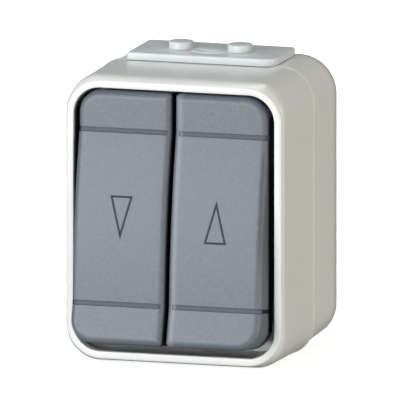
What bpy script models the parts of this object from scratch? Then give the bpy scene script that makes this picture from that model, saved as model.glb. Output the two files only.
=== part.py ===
"""Surface mounted roller shutter switch with two rockers, splash proof.

Metres, +Z up. The origin is the centre of the rear face, which goes against the wall; the
front looks along -Y. Depths are counted from the plane of the front lip backwards.
"""
import math

import bmesh
import bpy
from mathutils import Matrix, Vector

mm = 0.001

# Fits
SEAT = 0.3 * mm            # clearance between pieces that touch
OVER = 1.0 * mm            # how far a cutter runs past the face it opens

# Housing
WINDOW_WIDTH = 60.5 * mm
WINDOW_HEIGHT = 77.3 * mm
WINDOW_RADIUS = 8.6 * mm
LIP_WIDTH = 2.2 * mm       # lip seen from the front
LIP_DEPTH = 1.6 * mm
LIP_ROUNDING = 0.25 * mm
LIP_CORNER = 10.8 * mm     # corner radius of the lip's outer edge
FLARE_DEPTH = 3.6 * mm     # the flare behind the lip
FLARE_SIDE = 0.55 * mm
FLARE_END = 0.9 * mm
DRAFT = 0.35 * mm          # how much the cover widens from the flare to its rear edge
COVER_DEPTH = 30.0 * mm    # front lip to the cover's rear edge
BASE_DEPTH = 22.0 * mm     # from there to the wall
COVER_WALL = 1.5 * mm
COVER_CORNER = 9.6 * mm
REAR_ROUNDING = 0.6 * mm   # rounding of the cover's rear edge and of the base's
SKIRT_DEPTH = 7.5 * mm     # how far the thinner skirt of the cover reaches over the base
SKIRT_WALL = 1.1 * mm
BASE_STEP_SIDE = 0.2 * mm  # the base is smaller than the cover's rear edge
BASE_STEP_END = 0.6 * mm
BASE_CORNER = 11.0 * mm
BASE_WALL = 2.8 * mm
FLOOR = 2.5 * mm
SPIGOT_DEPTH = 6.0 * mm    # the base's spigot inside the cover's skirt
SEAL_GROOVE = 0.85 * mm    # depth of the seal groove in the spigot
SEAL_WIDTH = 1.4 * mm
SEAL_SETBACK = 1.4 * mm    # from the joint forward to the groove
CATCH_LENGTH = 8.0 * mm
CATCH_HEIGHT = 0.25 * mm
CATCH_WIDTH = 1.2 * mm
CATCH_SPACING = 36.0 * mm
CATCH_SETBACK = 4.6 * mm   # from the joint forward to the middle of a catch

# Cable entry on top
PLATE_WIDTH = 44.4 * mm
PLATE_LENGTH = 20.5 * mm
PLATE_THICKNESS = 2.05 * mm
PLATE_OVERLAP = 2.8 * mm   # how far the plate reaches over the cover
PLATE_CORNER = 4.5 * mm    # the keyed corner, front right
PLATE_SMALL_CORNER = 0.4 * mm
PLATE_EDGE = 0.2 * mm
PAD_INSET = 0.5 * mm
STUD_SPACING = 17.5 * mm
STUD_DIAMETER = 7.25 * mm
STUD_HEIGHT = 2.0 * mm
DISC_DIAMETER = 12.0 * mm
DISC_HEIGHT = 0.5 * mm
DOME_DIAMETER = 7.8 * mm
DOME_HEIGHT = 0.6 * mm
NECK_WIDTH = 30.0 * mm
NECK_FRONT_MARGIN = 3.2 * mm  # cover's rear edge to the neck
NECK_REAR_MARGIN = 3.8 * mm   # neck to the plate's rear edge
NECK_WALL = 1.5 * mm
NECK_DROP = 4.6 * mm       # how far the neck reaches below the plate
ENTRY_SEAL_WIDTH = 1.5 * mm
ENTRY_SEAL_HEIGHT = 0.7 * mm

# Rear wall
SLOT_WIDTH = 3.9 * mm
SLOT_LENGTH = 7.0 * mm
SLOT_INSET = 8.7 * mm      # inner end of the base to a slot's middle
SLOT_PAD = 1.0 * mm        # raised collar round a fixing slot, inside
KNOCKOUT_DIAMETER = 20.0 * mm
KNOCKOUT_GROOVE = 0.8 * mm
KNOCKOUT_DEPTH = 1.2 * mm
KNOCKOUT_DROP = 16.0 * mm  # upper slot to the knockout's middle

# Rockers
PIVOT_DEPTH = 7.5 * mm     # depth of the rockers' axis
REST_TILT = math.radians(8.0)
ROCKER_CROWN = 11.7 * mm   # crown to axis
ROCKER_END_CLEARANCE = 1.85 * mm
ROCKER_GAP = 1.0 * mm      # between the two rockers
ROCKER_SIDE_CLEARANCE = 1.05 * mm
ROCKER_CORNER = 7.0 * mm
ROCKER_GAP_CORNER = 1.2 * mm    # corners towards the other rocker
ROCKER_WALL = 1.5 * mm
ROCKER_SKIN = 1.8 * mm
ROCKER_SKIRT = 1.0 * mm    # how far the skirt reaches behind the axis
CROWN_SAGITTA = 1.3 * mm
GROOVE_FROM_END = 11.7 * mm
GROOVE_WIDTH = 1.5 * mm
GROOVE_DEPTH = 0.35 * mm
GROOVE_SLOPE = 0.12 * mm
END_FLARE = 1.66 * mm      # the end sections rise by this towards the ends
SIDE_FILLET = 2.2 * mm
GAP_FILLET = 2.1 * mm
END_FILLET = 1.8 * mm
RIB = 1.2 * mm
RIB_REAR = 4.5 * mm        # rear edge of the clip ribs, in front of the axis
ARCH_HALF_HEIGHT = 6.5 * mm

# Cradles, plungers and springs
HUB_RADIUS = 3.3 * mm
PIN_RADIUS = 1.5 * mm
PLATFORM_HALF_HEIGHT = 11.0 * mm
PLATFORM_SIDE_GAP = 0.55 * mm
TUBE_LENGTH = 8.6 * mm
BORE_BOTTOM = 2.6 * mm
PLUNGER_RADIUS = 1.7 * mm
PLUNGER_REACH = 12.0 * mm
PLUNGER_REAR = 3.6 * mm
PLUNGER_HOLE_RADIUS = 1.15 * mm
PLUNGER_HOLE_BOTTOM = 8.2 * mm
PLUNGER_TRAVEL = 0.6 * mm
SPRING_WIRE = 0.32 * mm
SPRING_RADIUS = 0.75 * mm
SPRING_TURNS = 4.5

# Rocker frame
LINING_WALL = 0.85 * mm
WEB_THICKNESS = 1.2 * mm
WEB_CLEARANCE = 0.6 * mm   # pressed skirt to web
LUG_THICKNESS = 2.2 * mm
LUG_RADIUS = 3.0 * mm
LUG_HALF_HEIGHT = 3.5 * mm
WEB_OPENING_WIDTH = 12.0 * mm
WEB_OPENING_HEIGHT = 15.0 * mm
FRAME_SCREW_RISE = 5.0 * mm   # pockets' bottom to the upper frame screw

# Switch insert
INSERT_SIDE_GAP = 3.35 * mm   # insert to the base's inner side
INSERT_END_GAP = 9.7 * mm     # insert to the base's inner ends
INSERT_DEPTH = 19.3 * mm
INSERT_CORNER = 2.5 * mm
INSERT_FLOOR = 2.0 * mm
CHAMBER_WIDTH = 16.0 * mm
CHAMBER_WALL = 4.0 * mm       # chamber to the terminal pockets
UPPER_LEDGE = 4.0 * mm
LOWER_LEDGE = 7.0 * mm
STOP_WIDTH = 6.0 * mm
STOP_HEIGHT = 2.6 * mm
POCKET_WIDTH = 8.6 * mm
POCKET_HEIGHT = 9.0 * mm
POCKET_DEPTH = 13.3 * mm
EAR_WIDTH = 10.0 * mm
EAR_END_GAP = 1.7 * mm        # ear to the base's inner end
EAR_INSET = 7.0 * mm          # insert's side to the ear's middle
EAR_SCREW_INSET = 5.7 * mm    # base's inner end to the ear's screw
POST_RADIUS = 3.6 * mm

# Contacts and terminals
LEVER_WIDTH = 8.0 * mm
LEVER_END_ROOM = 5.0 * mm     # lever to the chamber's end
LEVER_THICKNESS = 1.0 * mm
LEVER_TILT = math.radians(6.0)
LEVER_GROOVE = 0.5 * mm
LEVER_GROOVE_HALF = 0.9 * mm
RIVET_RADIUS = 1.7 * mm
RIVET_HEIGHT = 0.9 * mm
RIVET_FROM_END = 2.0 * mm
STRIP_THICKNESS = 0.8 * mm
STRIP_WIDTH = 5.0 * mm
STRIP_PAST_RIVET = 2.2 * mm
STRIP_GAP = 0.2 * mm          # strip to the terminal pocket
FEED_THICKNESS = 1.0 * mm
FEED_HALF_HEIGHT = 3.0 * mm
FEED_PAST_EDGE = 6.15 * mm    # the bar past the middle of a knife edge
FEED_TONGUE_WIDTH = 6.0 * mm
EDGE_TAPER = 0.8 * mm
EAR_OF_FORK = 1.2 * mm
FORK_REACH = 2.3 * mm
CAGE_WIDTH = 7.6 * mm
CAGE_HEIGHT = 7.0 * mm
CAGE_DEPTH = 8.8 * mm
CAGE_WIRE_HOLE = 3.6 * mm
CAGE_SETBACK = 2.5 * mm    # insert's front to the cages

# Screws
SCREW_HEAD_RADIUS = 2.6 * mm
SCREW_HEAD_HEIGHT = 1.5 * mm
SCREW_RADIUS = 1.4 * mm
SCREW_SLOT_WIDTH = 0.7 * mm
SCREW_SLOT_DEPTH = 0.6 * mm
INSERT_SCREW_LENGTH = 9.0 * mm
FRAME_SCREW_LENGTH = 7.0 * mm
FRAME_SCREW_HEAD = 1.0 * mm
TERMINAL_SCREW_LENGTH = 3.4 * mm

# Smoothness
HAIR = 0.05 * mm
CORNER_STEPS = 7
ROUND_STEPS = 20

# Sizes that follow from the ones above
total_depth = COVER_DEPTH + BASE_DEPTH
window_x = WINDOW_WIDTH / 2
window_z = WINDOW_HEIGHT / 2
lip_x = window_x + LIP_WIDTH
lip_z = window_z + LIP_WIDTH
cover_x = lip_x + FLARE_SIDE + DRAFT
cover_z = lip_z + FLARE_END + DRAFT
base_x = cover_x - BASE_STEP_SIDE
base_z = cover_z - BASE_STEP_END
inner_x = base_x - BASE_WALL
inner_z = base_z - BASE_WALL
slot_z = inner_z - SLOT_INSET
knockout_z = slot_z - KNOCKOUT_DROP
spigot_x = cover_x - SKIRT_WALL - SEAT
spigot_z = cover_z - SKIRT_WALL - SEAT
rocker_inner = ROCKER_GAP / 2
rocker_outer = window_x - ROCKER_SIDE_CLEARANCE
rocker_middle = (rocker_inner + rocker_outer) / 2
rocker_end = window_z - ROCKER_END_CLEARANCE
groove_place = rocker_end - GROOVE_FROM_END
pin_hole = PIN_RADIUS + SEAT
skirt_reach = (PIVOT_DEPTH + ROCKER_SKIRT * math.cos(REST_TILT)
               + rocker_end * math.sin(REST_TILT))
web_front = skirt_reach + WEB_CLEARANCE
web_rear = web_front + WEB_THICKNESS
lining_x = window_x + LINING_WALL
lining_z = window_z + LINING_WALL
insert_front = web_rear + SEAT
insert_rear = insert_front + INSERT_DEPTH
insert_floor = insert_rear - INSERT_FLOOR
insert_x = inner_x - INSERT_SIDE_GAP
insert_z = inner_z - INSERT_END_GAP
ear_place = insert_x - EAR_INSET
ear_reach = inner_z - EAR_END_GAP
ear_screw_z = inner_z - EAR_SCREW_INSET
pocket_bottom = insert_z - POCKET_HEIGHT
chamber_z = pocket_bottom - CHAMBER_WALL
upper_ledge_z = chamber_z - UPPER_LEDGE
lower_ledge_z = chamber_z - LOWER_LEDGE
lever_end = chamber_z - LEVER_END_ROOM
rivet_z = lever_end - RIVET_FROM_END
strip_bottom = rivet_z - STRIP_PAST_RIVET
strip_top = pocket_bottom - STRIP_GAP
feed_x = rocker_middle + FEED_PAST_EDGE
frame_screw_x = rocker_middle / 2
frame_screw_z = pocket_bottom + FRAME_SCREW_RISE
post_front = insert_rear + SEAT
lever_front = PIVOT_DEPTH + PLUNGER_REACH + SEAT
lever_axis = lever_front + LEVER_THICKNESS
lever_swing = rivet_z * math.sin(LEVER_TILT)
rivet_front = lever_axis + RIVET_HEIGHT + lever_swing + SEAT
strip_front = rivet_front + RIVET_HEIGHT
ledge_depth = strip_front + STRIP_THICKNESS + SEAT
plate_bottom = cover_z + SEAT
plate_top = plate_bottom + PLATE_THICKNESS
plate_front = COVER_DEPTH - PLATE_OVERLAP
plate_rear = plate_front + PLATE_LENGTH
neck_front = COVER_DEPTH + NECK_FRONT_MARGIN
neck_rear = plate_rear - NECK_REAR_MARGIN


def clear_scene():
    """Remove every object of the scene."""
    for item in list(bpy.data.objects):
        bpy.data.objects.remove(item, do_unlink=True)


def make_collection(name):
    """A new collection linked to the scene."""
    made = bpy.data.collections.new(name)
    bpy.context.scene.collection.children.link(made)
    return made


def material(name, colour, roughness, metallic=0.0):
    """A Principled material."""
    made = bpy.data.materials.new(name)
    made.use_nodes = True
    shader = made.node_tree.nodes["Principled BSDF"]
    shader.inputs["Base Color"].default_value = (*colour, 1.0)
    shader.inputs["Roughness"].default_value = roughness
    shader.inputs["Metallic"].default_value = metallic
    return made


clear_scene()
parts = make_collection("roller_shutter_switch")
cutters = make_collection("cutters")
HOUSING_PLASTIC = material("housing_plastic", (0.55, 0.55, 0.52), 0.25)
KEY_PLASTIC = material("key_plastic", (0.25, 0.28, 0.33), 0.45)
FRAME_PLASTIC = material("frame_plastic", (0.05, 0.05, 0.055), 0.5)
INSERT_PLASTIC = material("insert_plastic", (0.62, 0.6, 0.54), 0.5)
RUBBER = material("rubber", (0.03, 0.03, 0.03), 0.7)
STEEL = material("steel", (0.6, 0.6, 0.6), 0.3, 1.0)
BRASS = material("brass", (0.75, 0.58, 0.28), 0.3, 1.0)


def place(item, collection, finish=None):
    """Link an object, give it its finish and shade it smooth where it is round."""
    collection.objects.link(item)
    if finish is not None:
        item.data.materials.append(finish)
    item.data.shade_smooth()
    item.data.set_sharp_from_angle(angle=math.radians(30))
    return item


def as_cutter(item):
    """Show a tool body as wire and keep it out of the picture."""
    item.hide_render = True
    item.display_type = "WIRE"
    return item


def mesh_object(name, bm, finish=None):
    """A sub-part from a bmesh, or a tool body where it has no finish."""
    bmesh.ops.recalc_face_normals(bm, faces=bm.faces)
    mesh = bpy.data.meshes.new(name)
    bm.to_mesh(mesh)
    bm.free()
    item = bpy.data.objects.new(name, mesh)
    if finish is None:
        return as_cutter(place(item, cutters))
    return place(item, parts, finish)


def combine(target, tool, operation):
    """Add an exact Boolean of a tool body to an object."""
    step = target.modifiers.new(tool.name, "BOOLEAN")
    step.object = tool
    step.operation = operation
    step.solver = "EXACT"


def cut(target, tool):
    combine(target, tool, "DIFFERENCE")


def join(target, tool):
    combine(target, tool, "UNION")


def at_depth(depth):
    """World Y of a depth behind the lip."""
    return depth - total_depth


def box(name, low, high, finish=None):
    """A box between two corners."""
    bm = bmesh.new()
    bmesh.ops.create_cube(bm, size=1.0)
    size = Vector(high) - Vector(low)
    middle = (Vector(high) + Vector(low)) / 2
    bmesh.ops.transform(bm, verts=bm.verts, matrix=Matrix.LocRotScale(middle, None, size))
    return mesh_object(name, bm, finish)


def depth_box(name, xs, depths, zs, finish=None):
    """A box given by its X range, its depths behind the lip and its Z range."""
    low = (xs[0], at_depth(depths[0]), zs[0])
    high = (xs[1], at_depth(depths[1]), zs[1])
    return box(name, low, high, finish)


def rod(name, start, end, radius, finish=None, steps=ROUND_STEPS):
    """A cylinder between two points."""
    start = Vector(start)
    end = Vector(end)
    bm = bmesh.new()
    bmesh.ops.create_cone(bm, cap_ends=True, segments=steps, radius1=radius, radius2=radius,
                          depth=(end - start).length)
    turn = Vector((0, 0, 1)).rotation_difference(end - start)
    bmesh.ops.transform(bm, verts=bm.verts,
                        matrix=Matrix.LocRotScale((start + end) / 2, turn, None))
    return mesh_object(name, bm, finish)


def rounded_rectangle(half_x, half_z, radius, steps=CORNER_STEPS):
    """Points of a rounded rectangle, anticlockwise from the right end of the upper corner."""
    points = []
    for corner, (sign_x, sign_z) in enumerate([(1, 1), (-1, 1), (-1, -1), (1, -1)]):
        for step in range(steps + 1):
            angle = math.pi / 2 * (corner + step / steps)
            points.append((sign_x * (half_x - radius) + radius * math.cos(angle),
                           sign_z * (half_z - radius) + radius * math.sin(angle)))
    return points


def loft(name, sections, closed=False, finish=None):
    """Rounded rectangles at given depths, joined in order; closed like a ring, or capped.

    Each section is (depth, half width, half height, corner radius).
    """
    bm = bmesh.new()
    rings = []
    for depth, half_x, half_z, radius in sections:
        outline = rounded_rectangle(half_x, half_z, radius)
        rings.append([bm.verts.new((x, at_depth(depth), z)) for x, z in outline])
    pairs = list(zip(rings, rings[1:]))
    if closed:
        pairs.append((rings[-1], rings[0]))
    else:
        bm.faces.new(rings[0])
        bm.faces.new(rings[-1])
    for first, second in pairs:
        for i in range(len(first)):
            j = (i + 1) % len(first)
            bm.faces.new((first[i], first[j], second[j], second[i]))
    return mesh_object(name, bm, finish)


def slab(name, outline, thickness, matrix, finish=None):
    """A flat outline, drawn as a filled curve, with a thickness, set in place by a matrix."""
    curve = bpy.data.curves.new(name, "CURVE")
    curve.dimensions = "2D"
    curve.fill_mode = "BOTH"
    curve.extrude = thickness / 2
    line = curve.splines.new("POLY")
    line.points.add(len(outline) - 1)
    for point, (u, v) in zip(line.points, outline):
        point.co = (u, v, 0.0, 1.0)
    line.use_cyclic_u = True
    drawn = bpy.data.objects.new(name, curve)
    bpy.context.scene.collection.objects.link(drawn)
    graph = bpy.context.evaluated_depsgraph_get()
    mesh = bpy.data.meshes.new_from_object(drawn.evaluated_get(graph))
    bpy.data.objects.remove(drawn)
    bm = bmesh.new()
    bm.from_mesh(mesh)
    bmesh.ops.remove_doubles(bm, verts=bm.verts, dist=1e-6)
    bmesh.ops.transform(bm, verts=bm.verts, matrix=matrix)
    bpy.data.meshes.remove(mesh)
    return mesh_object(name, bm, finish)


def facing_front(depth):
    """Places an outline drawn in X and Z at a depth."""
    return Matrix.Translation((0, at_depth(depth), 0)) @ Matrix.Rotation(math.pi / 2, 4, "X")


def facing_side(x):
    """Places an outline drawn in depth and Z at an X."""
    turn = Matrix(((0, 0, 1, 0), (1, 0, 0, 0), (0, 1, 0, 0), (0, 0, 0, 1)))
    return Matrix.Translation((x, 0, 0)) @ turn


def turned(name, profile, place_matrix, finish, steps=ROUND_STEPS):
    """A profile of (radius, height), from the top down, turned with a Screw modifier."""
    mesh = bpy.data.meshes.new(name)
    points = [(radius, 0.0, height) for radius, height in profile]
    mesh.from_pydata(points, [(i, i + 1) for i in range(len(points) - 1)], [])
    item = bpy.data.objects.new(name, mesh)
    item.matrix_world = place_matrix
    place(item, parts, finish)
    spin = item.modifiers.new("turn", "SCREW")
    spin.steps = steps
    spin.render_steps = steps
    spin.use_merge_vertices = True
    spin.merge_threshold = 1e-6
    return item


def pivot_empty(name, location, tilt):
    """An empty on a joint's axis that carries the pieces of a moving body."""
    empty = bpy.data.objects.new(name, None)
    empty.location = location
    empty.rotation_euler = (tilt, 0, 0)
    parts.objects.link(empty)
    return empty


def carry(empty, *items):
    """Parent pieces, modelled round the origin, to an empty."""
    for item in items:
        item.parent = empty


# Housing

def front_cover():
    """Deep shell with a lip round the window, a flare behind it and a thinner rear skirt."""
    flare_x = lip_x + FLARE_SIDE
    flare_z = lip_z + FLARE_END
    window = (window_x, window_z, WINDOW_RADIUS)
    skirt_front = COVER_DEPTH - SKIRT_DEPTH
    lip_edge = LIP_ROUNDING * 1.2

    def flare(depth, share):
        radius = LIP_CORNER + (COVER_CORNER - LIP_CORNER) * share
        return depth, lip_x + FLARE_SIDE * share, lip_z + FLARE_END * share, radius

    def wall(depth, inset):
        share = (depth - FLARE_DEPTH) / (COVER_DEPTH - FLARE_DEPTH)
        grow = DRAFT * max(share, 0.0)
        return (depth, flare_x + grow - inset, flare_z + grow - inset,
                COVER_CORNER - inset)

    sections = [
        wall(COVER_DEPTH, REAR_ROUNDING),
        wall(COVER_DEPTH - REAR_ROUNDING * 0.3, REAR_ROUNDING * 0.3),
        wall(COVER_DEPTH - REAR_ROUNDING, 0.0),
        wall(COVER_DEPTH / 2, 0.0),
        wall(FLARE_DEPTH, 0.0),
        flare(FLARE_DEPTH * 0.55, 0.8),
        flare(FLARE_DEPTH * 0.25, 0.45),
        flare(LIP_ROUNDING, 0.0),
        (0.0, lip_x - lip_edge, lip_z - lip_edge, LIP_CORNER - lip_edge),
        (0.0, window_x + lip_edge, window_z + lip_edge, WINDOW_RADIUS + lip_edge),
        (LIP_ROUNDING, *window),
        (LIP_DEPTH, *window),
        wall(LIP_DEPTH, COVER_WALL),
        wall(skirt_front, COVER_WALL),
        (skirt_front, cover_x - SKIRT_WALL, cover_z - SKIRT_WALL, COVER_CORNER - SKIRT_WALL),
        (COVER_DEPTH, cover_x - SKIRT_WALL, cover_z - SKIRT_WALL, COVER_CORNER - SKIRT_WALL),
    ]
    cover = loft("front_cover", sections, closed=True, finish=HOUSING_PLASTIC)
    for side, middle in catch_places():
        reach = spigot_x + SEAT + CATCH_HEIGHT + SEAT
        pocket = catch_box("catch_pocket", side, middle, reach, SEAT)
        cut(cover, pocket)


def catch_places():
    """Side and height of each snap catch between cover and base."""
    for side in (-1, 1):
        for middle in (-CATCH_SPACING / 2, CATCH_SPACING / 2):
            yield side, middle


def catch_box(name, side, middle, reach, margin):
    """A box over one snap catch, out to a reach from the middle plane."""
    xs = sorted((side * (spigot_x - SEAT), side * reach))
    depth = COVER_DEPTH - CATCH_SETBACK
    half_width = CATCH_WIDTH / 2 + margin
    half_length = CATCH_LENGTH / 2 + margin
    return depth_box(name, xs, (depth - half_width, depth + half_width),
                     (middle - half_length, middle + half_length))


def base_box():
    """Rear box: a cup with a spigot, seal groove, catches, posts, slots and an entry pad."""
    joint = COVER_DEPTH + SEAT
    tip = COVER_DEPTH - SPIGOT_DEPTH
    spigot_corner = COVER_CORNER - SKIRT_WALL - SEAT
    inner = (inner_x, inner_z, BASE_CORNER - BASE_WALL)
    groove_front = COVER_DEPTH - SEAL_SETBACK - SEAL_WIDTH - 2 * SEAT
    groove_rear = COVER_DEPTH - SEAL_SETBACK
    groove = (spigot_x - SEAL_GROOVE, spigot_z - SEAL_GROOVE, spigot_corner - SEAL_GROOVE)
    spigot = (spigot_x, spigot_z, spigot_corner)
    sections = [
        (total_depth - FLOOR, *inner),
        (tip, *inner),
        (tip, *spigot),
        (groove_front, *spigot),
        (groove_front, *groove),
        (groove_rear, *groove),
        (groove_rear, *spigot),
        (joint, *spigot),
        (joint, base_x, base_z, BASE_CORNER),
        (total_depth - REAR_ROUNDING, base_x, base_z, BASE_CORNER),
        (total_depth - REAR_ROUNDING * 0.3, base_x - REAR_ROUNDING * 0.3,
         base_z - REAR_ROUNDING * 0.3, BASE_CORNER - REAR_ROUNDING * 0.3),
        (total_depth, base_x - REAR_ROUNDING, base_z - REAR_ROUNDING, BASE_CORNER - REAR_ROUNDING),
    ]
    base = loft("base_box", sections, finish=HOUSING_PLASTIC)
    for side, middle in catch_places():
        join(base, catch_box("catch", side, middle, spigot_x + CATCH_HEIGHT, 0.0))
    floor_front = total_depth - FLOOR
    for sign in (-1, 1):
        x = -sign * ear_place
        z = sign * ear_screw_z
        join(base, rod("post", (x, at_depth(post_front), z),
                       (x, at_depth(total_depth - FLOOR / 2), z), POST_RADIUS))
        cut(base, rod("post_hole", (x, at_depth(post_front - OVER), z),
                      (x, at_depth(post_front + INSERT_SCREW_LENGTH), z), SCREW_RADIUS + SEAT,
                      steps=12))
    for sign in (-1, 1):
        z = sign * slot_z
        long_x = SLOT_LENGTH if sign > 0 else SLOT_WIDTH
        long_z = SLOT_WIDTH if sign > 0 else SLOT_LENGTH
        pad_x = long_x / 2 + SLOT_PAD * 2
        pad_z = long_z / 2 + SLOT_PAD * 2
        join(base, depth_box("slot_pad", (-pad_x, pad_x),
                             (floor_front - SLOT_PAD, total_depth - FLOOR / 2),
                             (z - pad_z, z + pad_z)))
        outline = [(u, v + z) for u, v in
                   rounded_rectangle(long_x / 2, long_z / 2, SLOT_WIDTH / 2 - 1e-5, 5)]
        cut(base, slab("slot", outline, 4 * FLOOR, facing_front(total_depth - FLOOR)))
    knockout = rod("knockout", (0, at_depth(total_depth - KNOCKOUT_DEPTH), knockout_z),
                   (0, at_depth(total_depth + OVER), knockout_z), KNOCKOUT_DIAMETER / 2)
    core = rod("knockout_core", (0, at_depth(total_depth - KNOCKOUT_DEPTH - OVER), knockout_z),
               (0, at_depth(total_depth + 2 * OVER), knockout_z),
               KNOCKOUT_DIAMETER / 2 - KNOCKOUT_GROOVE)
    cut(knockout, core)
    cut(base, knockout)
    pad = slab("entry_pad", plate_outline(PAD_INSET, joint + SEAT),
               plate_bottom - SEAT - base_z + FLOOR / 2,
               Matrix.Translation((0, 0, (plate_bottom - SEAT + base_z - FLOOR / 2) / 2)))
    join(base, pad)
    seal_recess = ENTRY_SEAL_WIDTH + 2 * SEAT
    cut(base, entry_box("entry_hole", SEAT, inner_z - OVER, plate_top))
    cut(base, entry_box("seal_recess", seal_recess,
                        plate_bottom - 2 * SEAT - ENTRY_SEAL_HEIGHT, plate_top))


def plate_outline(inset, front):
    """The entry plate's keyed outline in X and Y: one large corner, front right."""
    left = -PLATE_WIDTH / 2 + inset
    right = PLATE_WIDTH / 2 - inset
    near = at_depth(front)
    far = at_depth(plate_rear) - inset
    corners = [(right, near, PLATE_CORNER, 1, 1), (right, far, PLATE_SMALL_CORNER, 1, -1),
               (left, far, PLATE_SMALL_CORNER, -1, -1), (left, near, PLATE_SMALL_CORNER, -1, 1)]
    points = []
    for number, (x, y, radius, to_right, to_rear) in enumerate(corners):
        steps = CORNER_STEPS if radius > PLATE_SMALL_CORNER else 2
        for step in range(steps + 1):
            angle = math.pi / 2 * (number - 1 + step / steps)
            points.append((x - to_right * radius + radius * math.cos(angle),
                           y + to_rear * radius + radius * math.sin(angle)))
    return points


def entry_box(name, margin, bottom, top, finish=None):
    """A box round the neck of the entry plate."""
    return depth_box(name, (-NECK_WIDTH / 2 - margin, NECK_WIDTH / 2 + margin),
                     (neck_front - margin, neck_rear + margin), (bottom, top), finish)


def entry_plate():
    """Cable entry plate with two blind studs, a disc to pierce and a neck."""
    thickness = plate_top - plate_bottom
    plate = slab("entry_plate", plate_outline(0.0, plate_front), thickness,
                 Matrix.Translation((0, 0, (plate_top + plate_bottom) / 2)), HOUSING_PLASTIC)
    edge = plate.modifiers.new("edge", "BEVEL")
    edge.width = PLATE_EDGE
    edge.segments = 2
    edge.limit_method = "ANGLE"
    edge.angle_limit = math.radians(60)
    middle = at_depth((plate_front + plate_rear) / 2 + SEAT)
    inside = plate_top - thickness / 2
    for sign in (-1, 1):
        x = sign * STUD_SPACING / 2
        join(plate, rod("stud", (x, middle, inside), (x, middle, plate_top + STUD_HEIGHT),
                        STUD_DIAMETER / 2, steps=24))
    disc_top = plate_top + DISC_HEIGHT
    join(plate, rod("disc", (0, middle, inside), (0, middle, disc_top), DISC_DIAMETER / 2,
                    steps=32))
    dome = bmesh.new()
    bmesh.ops.create_uvsphere(dome, u_segments=24, v_segments=8, radius=DOME_DIAMETER / 2)
    flat = Vector((1, 1, DOME_HEIGHT / (DOME_DIAMETER / 2)))
    bmesh.ops.transform(dome, verts=dome.verts,
                        matrix=Matrix.LocRotScale((0, middle, disc_top), None, flat))
    join(plate, mesh_object("dome", dome))
    neck_bottom = plate_bottom - NECK_DROP
    join(plate, entry_box("neck", 0.0, neck_bottom, inside))
    cut(plate, entry_box("neck_hollow", -NECK_WALL, neck_bottom - OVER, plate_bottom))


def entry_seal():
    """Rubber ring in the recess under the entry plate, round its neck."""
    top = plate_bottom - SEAT
    bottom = top - ENTRY_SEAL_HEIGHT
    seal = entry_box("entry_seal", SEAT + ENTRY_SEAL_WIDTH, bottom, top, RUBBER)
    cut(seal, entry_box("seal_hole", SEAT, bottom - OVER, top + OVER))


def cover_seal():
    """Rubber band in the groove of the base's spigot."""
    outer = SEAL_GROOVE - SEAT
    front = COVER_DEPTH - SEAL_SETBACK - SEAT - SEAL_WIDTH
    corner = COVER_CORNER - SKIRT_WALL - SEAT
    near = (spigot_x, spigot_z, corner)
    far = (spigot_x - outer, spigot_z - outer, corner - outer)
    sections = [(front, *near), (front + SEAL_WIDTH, *near),
                (front + SEAL_WIDTH, *far), (front, *far)]
    loft("cover_seal", sections, closed=True, finish=RUBBER)


# Rocker frame and pin

def rocker_frame():
    """Dark lining behind the lip with a web that carries the pivot lugs."""
    front = LIP_DEPTH + SEAT
    inner = (window_x, window_z, WINDOW_RADIUS)
    outer = (lining_x, lining_z, WINDOW_RADIUS + LINING_WALL)
    sections = [(web_front, *inner), (front, *inner), (front, *outer), (web_rear, *outer)]
    frame = loft("rocker_frame", sections, finish=FRAME_PLASTIC)
    for x in lug_places():
        outline = [(at_depth(web_front + WEB_THICKNESS / 2), -LUG_HALF_HEIGHT)]
        outline.append((at_depth(web_front + WEB_THICKNESS / 2), LUG_HALF_HEIGHT))
        for step in range(9):
            angle = math.pi / 2 + math.pi * step / 8
            outline.append((at_depth(PIVOT_DEPTH) + LUG_RADIUS * math.cos(angle),
                            LUG_RADIUS * math.sin(angle)))
        join(frame, slab("lug", outline, LUG_THICKNESS, facing_side(x)))
    cut(frame, rod("pin_bore", (-window_x, at_depth(PIVOT_DEPTH), 0),
                   (window_x - SEAT, at_depth(PIVOT_DEPTH), 0), pin_hole))
    for side in (-1, 1):
        middle = side * rocker_middle
        cut(frame, depth_box("web_opening", (middle - WEB_OPENING_WIDTH / 2,
                                             middle + WEB_OPENING_WIDTH / 2),
                             (web_front - OVER, web_rear + OVER),
                             (-WEB_OPENING_HEIGHT / 2, WEB_OPENING_HEIGHT / 2)))
        x = side * frame_screw_x
        z = side * frame_screw_z
        cut(frame, rod("frame_screw_hole", (x, at_depth(web_front - OVER), z),
                       (x, at_depth(web_rear + OVER), z), SCREW_RADIUS + SEAT, steps=12))


def outer_lug():
    """X of the outer lugs, just inside the rockers' outer walls."""
    return rocker_outer - ROCKER_WALL - PLATFORM_SIDE_GAP - LUG_THICKNESS / 2


def lug_places():
    """X of the three lugs that carry the pin."""
    return (-outer_lug(), 0.0, outer_lug())


def pivot_pin():
    """Steel pin through the three lugs and both cradles."""
    end = outer_lug() + LUG_THICKNESS / 2
    rod("pivot_pin", (-end, at_depth(PIVOT_DEPTH), 0), (end, at_depth(PIVOT_DEPTH), 0),
        PIN_RADIUS, STEEL)


# Rockers: modelled round their axis, untilted, front towards -Y

def front_height(z, grooved=True):
    """Distance of the key's front from the axis: crowned middle, groove, flared end."""
    reach = abs(z)
    valley = ROCKER_CROWN - CROWN_SAGITTA
    if reach <= groove_place:
        height = ROCKER_CROWN - CROWN_SAGITTA * (reach / groove_place) ** 2
    else:
        share = (reach - groove_place) / (rocker_end - groove_place)
        height = valley + END_FLARE * share
    if grooved and abs(reach - groove_place) < GROOVE_WIDTH / 2:
        height -= GROOVE_DEPTH
    return height


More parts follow.
